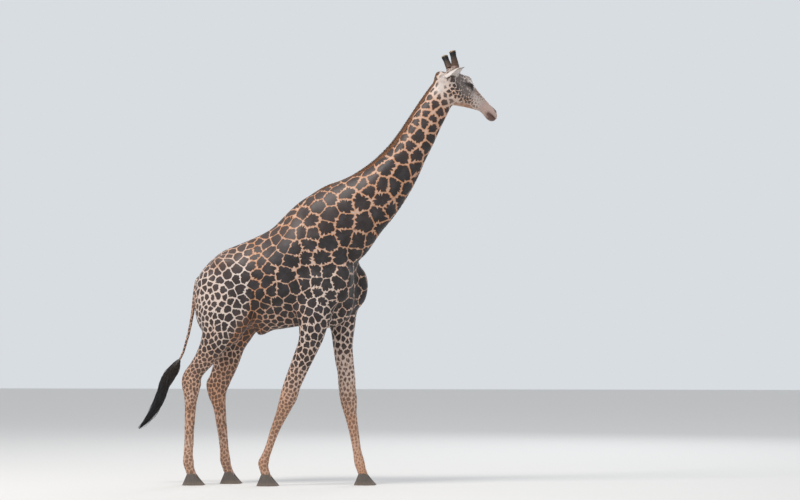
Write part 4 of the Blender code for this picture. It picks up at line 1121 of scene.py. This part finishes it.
def rootPlaces(roots, skinTree, skinUv):
    # each root takes the unwrap's place of the nearest skin
    found = [skinTree.find(root)[1] for root in roots]
    return np.column_stack([skinUv[found], np.zeros(len(found))])


def skinLookup(mesh):
    tree = KDTree(len(mesh.vertices))
    for index, vert in enumerate(mesh.vertices):
        tree.insert(vert.co, index)
    tree.balance()
    loopVerts = np.empty(len(mesh.loops), np.int32)
    mesh.loops.foreach_get("vertex_index", loopVerts)
    uv = np.zeros((len(mesh.vertices), 2))
    uv[loopVerts] = uvOf(mesh)
    return tree, uv


def makeMane(lookup, tree):
    # hair stands in rows across the crest, and ends where the mane's own outline does
    crest, skinShapeTree = treeOf(nodes["mane"].data), treeOf(skin.data)
    low, high = Vector((maneLook["start"][0], 0, maneLook["start"][1])), Vector((maneLook["end"][0], 0, maneLook["end"][1]))
    chord = (high - low).normalized()
    up = Vector((-chord.z, 0, chord.x))
    rows = []
    for step in range(maneLook["stations"]):
        spot = low.lerp(high, step / (maneLook["stations"] - 1)) + up * 1.0
        hits = []
        for sideways in np.arange(-0.07, 0.08, 0.004):
            top = crest.ray_cast(spot + Vector((0, sideways, 0)), -up)[0]
            if top:
                hits.append(top)
        if len(hits) < 2:
            continue
        peak = max(hits, key=lambda hit: hit.dot(up))
        middle = sum(hit.y for hit in hits) / len(hits)
        base = skinShapeTree.ray_cast(Vector((peak.x, middle, peak.z)) + up * 0.3, -up)[0]
        if base:
            rows.append((*base, *peak, middle))
    # past the solid's end the hair goes on over the poll, getting shorter
    for share in np.linspace(0, 1, maneLook["pollStations"]):
        spot = Vector(maneLook["end3"]).lerp(Vector(maneLook["poll"]), share)
        base = skinShapeTree.ray_cast(spot + up * 0.3, -up)[0]
        if base:
            peak = base + (up + chord * 0.5 * share).normalized() * (0.030 - 0.014 * share)
            rows.append((*base, *peak, spot.y))
    rows = np.array(rows)
    smooth = np.ones(15) / 15
    padded = np.pad(rows, ((7, 7), (0, 0)), "edge")
    rows = np.stack([np.convolve(column, smooth, "valid") for column in padded.T], 1)
    chance = np.random.default_rng(maneLook["seed"])
    across = np.linspace(-1, 1, maneLook["across"])
    pick = np.repeat(np.arange(len(rows)), len(across))
    side = np.tile(across, len(rows)) + chance.normal(0, 0.12, len(pick))
    base, peak, middle = rows[pick, :3], rows[pick, 3:6], rows[pick, 6]
    base[:, 1] = middle + side * maneLook["halfWidth"]
    base += (base - peak) * 0.10
    peak[:, 1] = middle + side * maneLook["halfWidth"] * 0.75 + chance.normal(0, 0.003, len(pick))
    height = np.linalg.norm(peak - base, axis=1)
    reach = chance.uniform(0.80, 1.0, len(pick)) * (1 - 0.10 * np.abs(side))
    ends = np.minimum(pick / maneLook["startRows"], (len(rows) - 1 - pick) / maneLook["endRows"])
    reach *= 0.12 + 0.88 * np.clip(ends, 0, 1) ** 0.8
    tilt = np.array(chord) * (chance.normal(-0.10, 0.10, len(pick)) * height)[:, None]
    steps = np.linspace(0, 1, maneLook["steps"])
    paths = base[:, None] + (peak - base)[:, None] * (steps[None, :] * reach[:, None])[:, :, None]
    paths += tilt[:, None] * (steps ** 2)[None, :, None]
    count = len(pick)
    size = np.tile(maneLook["size"] * np.array([1.0, 1.0, 0.8, 0.12]), count)
    places = np.repeat(rootPlaces(base, *lookup), len(steps), 0)
    carrier = linesMesh(paths, {"size": size, "along": np.tile(steps, count), "rootPlace": places})
    dress = hairMaterial("maneHair", (0.30, 0.135, 0.06), (0.22, 0.095, 0.042), (0.035, 0.022, 0.018), 0.6)
    piece = grown("maneHair", carrier, tree, {"Sides": 3, "Material": dress})
    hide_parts("mane")
    print("mane", len(piece.data.polygons))


def makeTuft(lookup, tree):
    # the tuft's own solid gives the line and the thickness that the locks fill
    solid = pointsOf(nodes["tail_tuft"].data)
    start, end = solid[solid[:, 2] > solid[:, 2].max() - 0.02].mean(0), solid[solid[:, 2].argmin()]
    chord = (end - start) / np.linalg.norm(end - start)
    along = (solid - start) @ chord / np.linalg.norm(end - start)
    marks = np.linspace(0, 1, tuftLook["stations"])
    middles, widths = [], []
    for mark in marks:
        near = np.exp(-((along - mark) / 0.05) ** 2)[:, None]
        middle = (solid * near).sum(0) / near.sum()
        offset = solid - middle
        offset -= (offset @ chord)[:, None] * chord
        middles.append(middle)
        widths.append((np.linalg.norm(offset, axis=1) * near[:, 0]).sum() / near.sum())
    middles, widths = np.array(middles), np.array(widths)
    for _ in range(3):
        middles[1:-1] = middles[:-2] * 0.3 + middles[1:-1] * 0.4 + middles[2:] * 0.3
        widths[1:-1] = widths[:-2] * 0.3 + widths[1:-1] * 0.4 + widths[2:] * 0.3
    middles[0], middles[-1], widths[0], widths[-1] = start, end, 0.013, 0.004
    widths[1:-1] *= 1.12
    chance = np.random.default_rng(tuftLook["seed"])
    count, steps = tuftLook["locks"], np.linspace(0, 1, tuftLook["steps"])
    first = np.where(chance.random(count) < 0.6, chance.uniform(0.0, 0.06, count), chance.uniform(0.05, 0.45, count))
    last = 1 - chance.random(count) ** 1.6 * 0.55
    last = np.maximum(last, first + 0.25)
    span = first[:, None] + (last - first)[:, None] * steps
    line = np.stack([np.interp(span, marks, middles[:, axis]) for axis in range(3)], 2)
    width = np.interp(span, marks, widths)
    sway = chance.uniform(0, 6, count)[:, None]
    angle = chance.uniform(0, 2 * math.pi, count)[:, None] + 1.1 * np.sin(span * 4 + sway)
    out = np.sqrt(chance.uniform(0.02, 1, count))[:, None] * (0.86 + 0.24 * np.sin(span * 13 + sway * 3))
    stray = (chance.random(count) < 0.12)[:, None] * np.clip(steps - 0.4, 0, 1) ** 1.5
    width = width + stray * 0.045
    sideways = np.cross(chord, (0, 1, 0))
    sideways /= np.linalg.norm(sideways)
    other = np.cross(chord, sideways)
    paths = line + (np.cos(angle) * out * width)[:, :, None] * sideways + (np.sin(angle) * out * width)[:, :, None] * other
    taper = np.interp(steps, [0, 0.15, 0.7, 1], [0.8, 1.0, 0.8, 0.15])
    size = np.outer(chance.uniform(0.7, 1.2, count), taper).ravel() * tuftLook["size"]
    places = np.repeat(rootPlaces(paths[:, 0], *lookup), len(steps), 0)
    carrier = linesMesh(paths, {"size": size, "along": span.ravel(), "rootPlace": places})
    dress = hairMaterial("tailHair", (0.045, 0.030, 0.024), (0.016, 0.016, 0.019), (0.014, 0.014, 0.017), 0.38)
    piece = grown("tailTuft", carrier, tree, {"Sides": 3, "Material": dress})
    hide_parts("tail_tuft")
    print("tail tuft", len(piece.data.polygons))


# --- eyes and lashes

lashLook = {"count": 46, "length": 0.026, "size": 0.0008, "seed": 4}


def makeEyes():
    material = bpy.data.materials.new("eyeball")
    material.use_nodes = True
    tree = material.node_tree
    shader = tree.nodes["Principled BSDF"]
    across = addNode(tree, "ShaderNodeAttribute", {"attribute_name": "fromAxis"}).outputs["Fac"]
    ramp = tree.nodes.new("ShaderNodeValToRGB")
    tree.links.new(across, ramp.inputs[0])
    for element, (spot, color) in zip([ramp.color_ramp.elements[0], ramp.color_ramp.elements.new(0.40),
                                       ramp.color_ramp.elements.new(0.48), ramp.color_ramp.elements.new(0.74),
                                       ramp.color_ramp.elements[-1]],
                                      [(0.0, (0.004, 0.004, 0.006)), (0.40, (0.004, 0.004, 0.006)),
                                       (0.48, (0.030, 0.014, 0.007)), (0.74, (0.018, 0.009, 0.005)),
                                       (0.86, (0.10, 0.07, 0.06))]):
        element.position = spot
        element.color = (*color, 1)
    tree.links.new(ramp.outputs[0], shader.inputs["Base Color"])
    shader.inputs["Roughness"].default_value = 0.12
    shader.inputs["Specular IOR Level"].default_value = 0.2
    shader.inputs["Coat Weight"].default_value = 0.55
    shader.inputs["Coat Roughness"].default_value = 0.03
    for side, name in ((-1, "right"), (1, "left")):
        x, y, z = eyeShape["centre"]
        out, along, up = eyeAxes(side)
        ball = bmesh.new()
        bmesh.ops.create_uvsphere(ball, u_segments=40, v_segments=28, radius=1.0)
        turn = out.to_track_quat("Z", "Y").to_matrix().to_4x4()
        place = headFrame @ Matrix.Translation((x, side * y, z)) @ turn
        fromAxis = []
        for vert in ball.verts:
            fromAxis.append(math.hypot(vert.co.x * 0.8, vert.co.y * 1.15) if vert.co.z > 0 else 1.0)
            bulge = 1 + 0.06 * max(0, vert.co.z - 0.75) / 0.25
            vert.co = place @ (vert.co * eyeShape["radius"] * bulge)
        mesh = bpy.data.meshes.new(f"eye_{name}_ball")
        ball.to_mesh(mesh)
        ball.free()
        store(mesh, "fromAxis", np.array(fromAxis))
        mesh.shade_smooth()
        piece = newObject(f"eye_{name}_ball", mesh, material)
        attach(piece, "root")
        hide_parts(f"eye_{name}")


def makeLashes(lookup, tree):
    chance = np.random.default_rng(lashLook["seed"])
    dress = plainMaterial("lashHair", (0.016, 0.012, 0.011), 0.45)
    paths = []
    for side in (-1, 1):
        x, y, z = eyeShape["centre"]
        centre = np.array((x, side * y, z))
        out, along, up = (np.array(axis) for axis in eyeAxes(side))
        for share in np.linspace(-0.95, 0.95, lashLook["count"]):
            across = share * eyeShape["halfWidth"]
            rise = eyeShape["halfHeight"] * max(1 - share ** 2, 0) + 0.002
            root = along * across + up * rise
            root = root + out * math.sqrt(max((eyeShape["radius"] + 0.005) ** 2 - root @ root, 1e-6))
            length = lashLook["length"] * (0.65 + 0.35 * (1 - share ** 2)) * chance.uniform(0.85, 1.1)
            way = out * 0.85 + along * (share * 0.45 + chance.normal(0, 0.05)) - up * 0.35
            curl = up * 0.45
            steps = np.linspace(0, 1, 5)[:, None]
            paths.append(centre + root + (way * steps + curl * steps ** 2) * length)
    paths = fromHead(np.array(paths).reshape(-1, 3)).reshape(len(paths), 5, 3)
    size = np.tile(lashLook["size"] * np.array([1.0, 0.9, 0.7, 0.45, 0.12]), len(paths))
    places = np.repeat(rootPlaces(paths[:, 0], *lookup), 5, 0)
    carrier = linesMesh(paths, {"size": size, "rootPlace": places})
    piece = grown("lashes", carrier, tree, {"Sides": 3, "Material": dress})


# --- horns and hooves

hornLook = {"voxel": 0.0035, "rounds": 10, "sink": 0.058, "lean": 0.18, "hair": (0.095, 0.052, 0.033), "ring": (0.010, 0.008, 0.008),
            "bare": (0.36, 0.235, 0.13), "tufts": 2600}


def makeHorns(tree):
    material = bpy.data.materials.new("hornSkin")
    material.use_nodes = True
    nodeTree = material.node_tree
    shader = nodeTree.nodes["Principled BSDF"]
    along = addNode(nodeTree, "ShaderNodeAttribute", {"attribute_name": "along"}).outputs["Fac"]
    place = addNode(nodeTree, "ShaderNodeTexCoord").outputs["Object"]
    ramp = nodeTree.nodes.new("ShaderNodeValToRGB")
    nodeTree.links.new(shareOf(nodeTree, place, along, 55.0, 0.16), ramp.inputs[0])
    stops = [(0.0, (0.15, 0.085, 0.056)), (0.35, hornLook["hair"]), (0.62, (0.045, 0.028, 0.020)),
             (0.74, hornLook["ring"]), (0.88, hornLook["ring"]), (0.94, hornLook["bare"])]
    ramp.color_ramp.elements.remove(ramp.color_ramp.elements[1])
    for spot, color in stops:
        element = ramp.color_ramp.elements[0] if spot == 0 else ramp.color_ramp.elements.new(spot)
        element.color = (*color, 1)
    nodeTree.links.new(ramp.outputs[0], shader.inputs["Base Color"])
    fuzz = grainOf(nodeTree, place, (330.0, 330.0, 330.0), 2.0)
    bump = addNode(nodeTree, "ShaderNodeBump", Strength=0.3, Distance=0.0015, Height=fuzz)
    nodeTree.links.new(bump.outputs[0], shader.inputs["Normal"])
    shader.inputs["Roughness"].default_value = 0.6
    chance = np.random.default_rng(6)
    for side in ("right", "left"):
        mesh = remeshed(meshOfNodes([f"ossicone_{side}"], -0.001), hornLook["voxel"])
        points = softened(pointsOf(mesh), linksOf(mesh), hornLook["rounds"])
        low, high = points[points[:, 2] < points[:, 2].min() + 0.012].mean(0), points[points[:, 2] > points[:, 2].max() - 0.01].mean(0)
        way = (high - low) / np.linalg.norm(high - low)
        along = (points - low) @ way / np.linalg.norm(high - low)
        points -= way * (np.clip((0.14 - along) / 0.14, 0, 1) * hornLook["sink"])[:, None]
        # the foot leans in towards the crown, so that it ends under the skin
        places = inHead(points)
        places[:, 1] *= 1 - hornLook["lean"] * np.clip(1 - along / 0.4, 0, 1) ** 1.3
        points = fromHead(places)
        setPoints(mesh, points)
        store(mesh, "along", np.clip(along, 0, 1))
        mesh.shade_smooth()
        piece = newObject(f"horn_{side}", mesh, material)
        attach(piece, "root")
        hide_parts(f"ossicone_{side}")
        normals = normalsOf(mesh)
        picked = chance.choice(np.flatnonzero((along > 0.02) & (along < 0.93)), hornLook["tufts"])
        rising = way * 0.9 + normals[picked] * 0.28 + chance.normal(0, 0.12, (len(picked), 3))
        black = np.clip((along[picked] - 0.6) / 0.2, 0, 1)
        foot = np.clip((0.20 - along[picked]) / 0.12, 0, 1)
        carrier = rootsMesh(points[picked] - normals[picked] * 0.001, {
            "lie": rising / np.linalg.norm(rising, axis=1)[:, None], "size": 0.008 + 0.008 * black + 0.010 * foot,
            "facing": normals[picked],
            "along": np.clip(along[picked], 0, 0.86), "rootPlace": np.column_stack([chance.random((len(picked), 2)), black])})
        hair = grown(f"horn_hair_{side}", carrier, tree, {"Sides": 3, "Width": 0.09, "Material": material})


hoofLook = {"voxel": 0.0055, "rounds": 12, "taper": (0.38, 0.26), "heel": 0.12, "ring": 0.004, "rings": 6, "color": (0.060, 0.048, 0.041),
            "pale": (0.150, 0.120, 0.098), "dust": (0.36, 0.27, 0.20)}


def makeHooves():
    material = bpy.data.materials.new("hoofHorn")
    material.use_nodes = True
    tree = material.node_tree
    shader = tree.nodes["Principled BSDF"]
    place = addNode(tree, "ShaderNodeTexCoord").outputs["Object"]
    level = addNode(tree, "ShaderNodeSeparateXYZ", i0=place).outputs[2]
    streaks = grainOf(tree, place, (70.0, 70.0, 5.0), 3.0)
    bands = grainOf(tree, place, (6.0, 6.0, 90.0), 2.0)
    color = mixColor(tree, streaks, hoofLook["color"], hoofLook["pale"])
    dusty = addNode(tree, "ShaderNodeMapRange", Value=level, i1=0.045, i2=0.0, i3=0.0, i4=0.6).outputs[0]
    speckle = addNode(tree, "ShaderNodeTexNoise", Vector=place, Scale=60.0, Detail=4.0).outputs[0]
    color = mixColor(tree, math2(tree, "MULTIPLY", dusty, speckle), color, hoofLook["dust"])
    tree.links.new(color, shader.inputs["Base Color"])
    bump = addNode(tree, "ShaderNodeBump", Strength=0.5, Distance=0.002, Height=bands)
    tree.links.new(bump.outputs[0], shader.inputs["Normal"])
    rough = addNode(tree, "ShaderNodeMapRange", Value=streaks, i3=0.42, i4=0.7).outputs[0]
    tree.links.new(rough, shader.inputs["Roughness"])
    for name in [node for node in nodes if node.startswith("hoof_")]:
        mesh = remeshed(meshOfNodes([name], 0.001), hoofLook["voxel"])
        points = softened(pointsOf(mesh), linksOf(mesh), hoofLook["rounds"])
        low, high = (np.array(corner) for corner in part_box(name))
        middle = (low + high) / 2
        middle[0] -= hoofLook["heel"] * (high[0] - low[0])   # steep at the heel, long and sloping at the toe
        share = np.clip((points[:, 2] - low[2]) / (high[2] - low[2]), 0, 1)
        pull = 1 - np.array(hoofLook["taper"]) * share[:, None] ** 1.2
        pull += (hoofLook["ring"] * np.sin(share * hoofLook["rings"] * 2 * math.pi)
                 * (share > 0.06) * (share < 0.9))[:, None]
        points[:, :2] = middle[:2] + (points[:, :2] - middle[:2]) * pull
        points[:, 2] = np.where(share < 0.04, low[2], points[:, 2])
        setPoints(mesh, points)
        mesh.shade_smooth()
        piece = newObject(f"{name}_horn", mesh, material)
        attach(piece, "root")
        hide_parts(name)


import time
clock = time.time()
skinMesh = thinned(makeSkin())
print("skin", len(skinMesh.polygons), round(time.time() - clock, 1))
sculptHead(skinMesh)
print("head", len(skinMesh.polygons), round(time.time() - clock, 1))
markCoat(skinMesh)
print("coat marked", round(time.time() - clock, 1))
unevenShare, stretchedGrain = makeUnevenShare(), makeStretchedGrain()
hide = makeHide()
skin = newObject("skin", skinMesh, hide)
skinMesh.shade_smooth()
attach(skin, "root")
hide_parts(*broadNodes, *thinNodes)
unwrap(skin)
print("unwrapped", round(time.time() - clock, 1))
lookup = skinLookup(skinMesh)
bristles, locks = makeBristleTree(), makeLockTree()
makeEyes()
makeLashes(lookup, locks)
makeHorns(bristles)
makeHooves()
makeMane(lookup, locks)
makeTuft(lookup, locks)
print("hair and horn", round(time.time() - clock, 1))
growCoat(skin, hide, bristles)
print("done", round(time.time() - clock, 1))
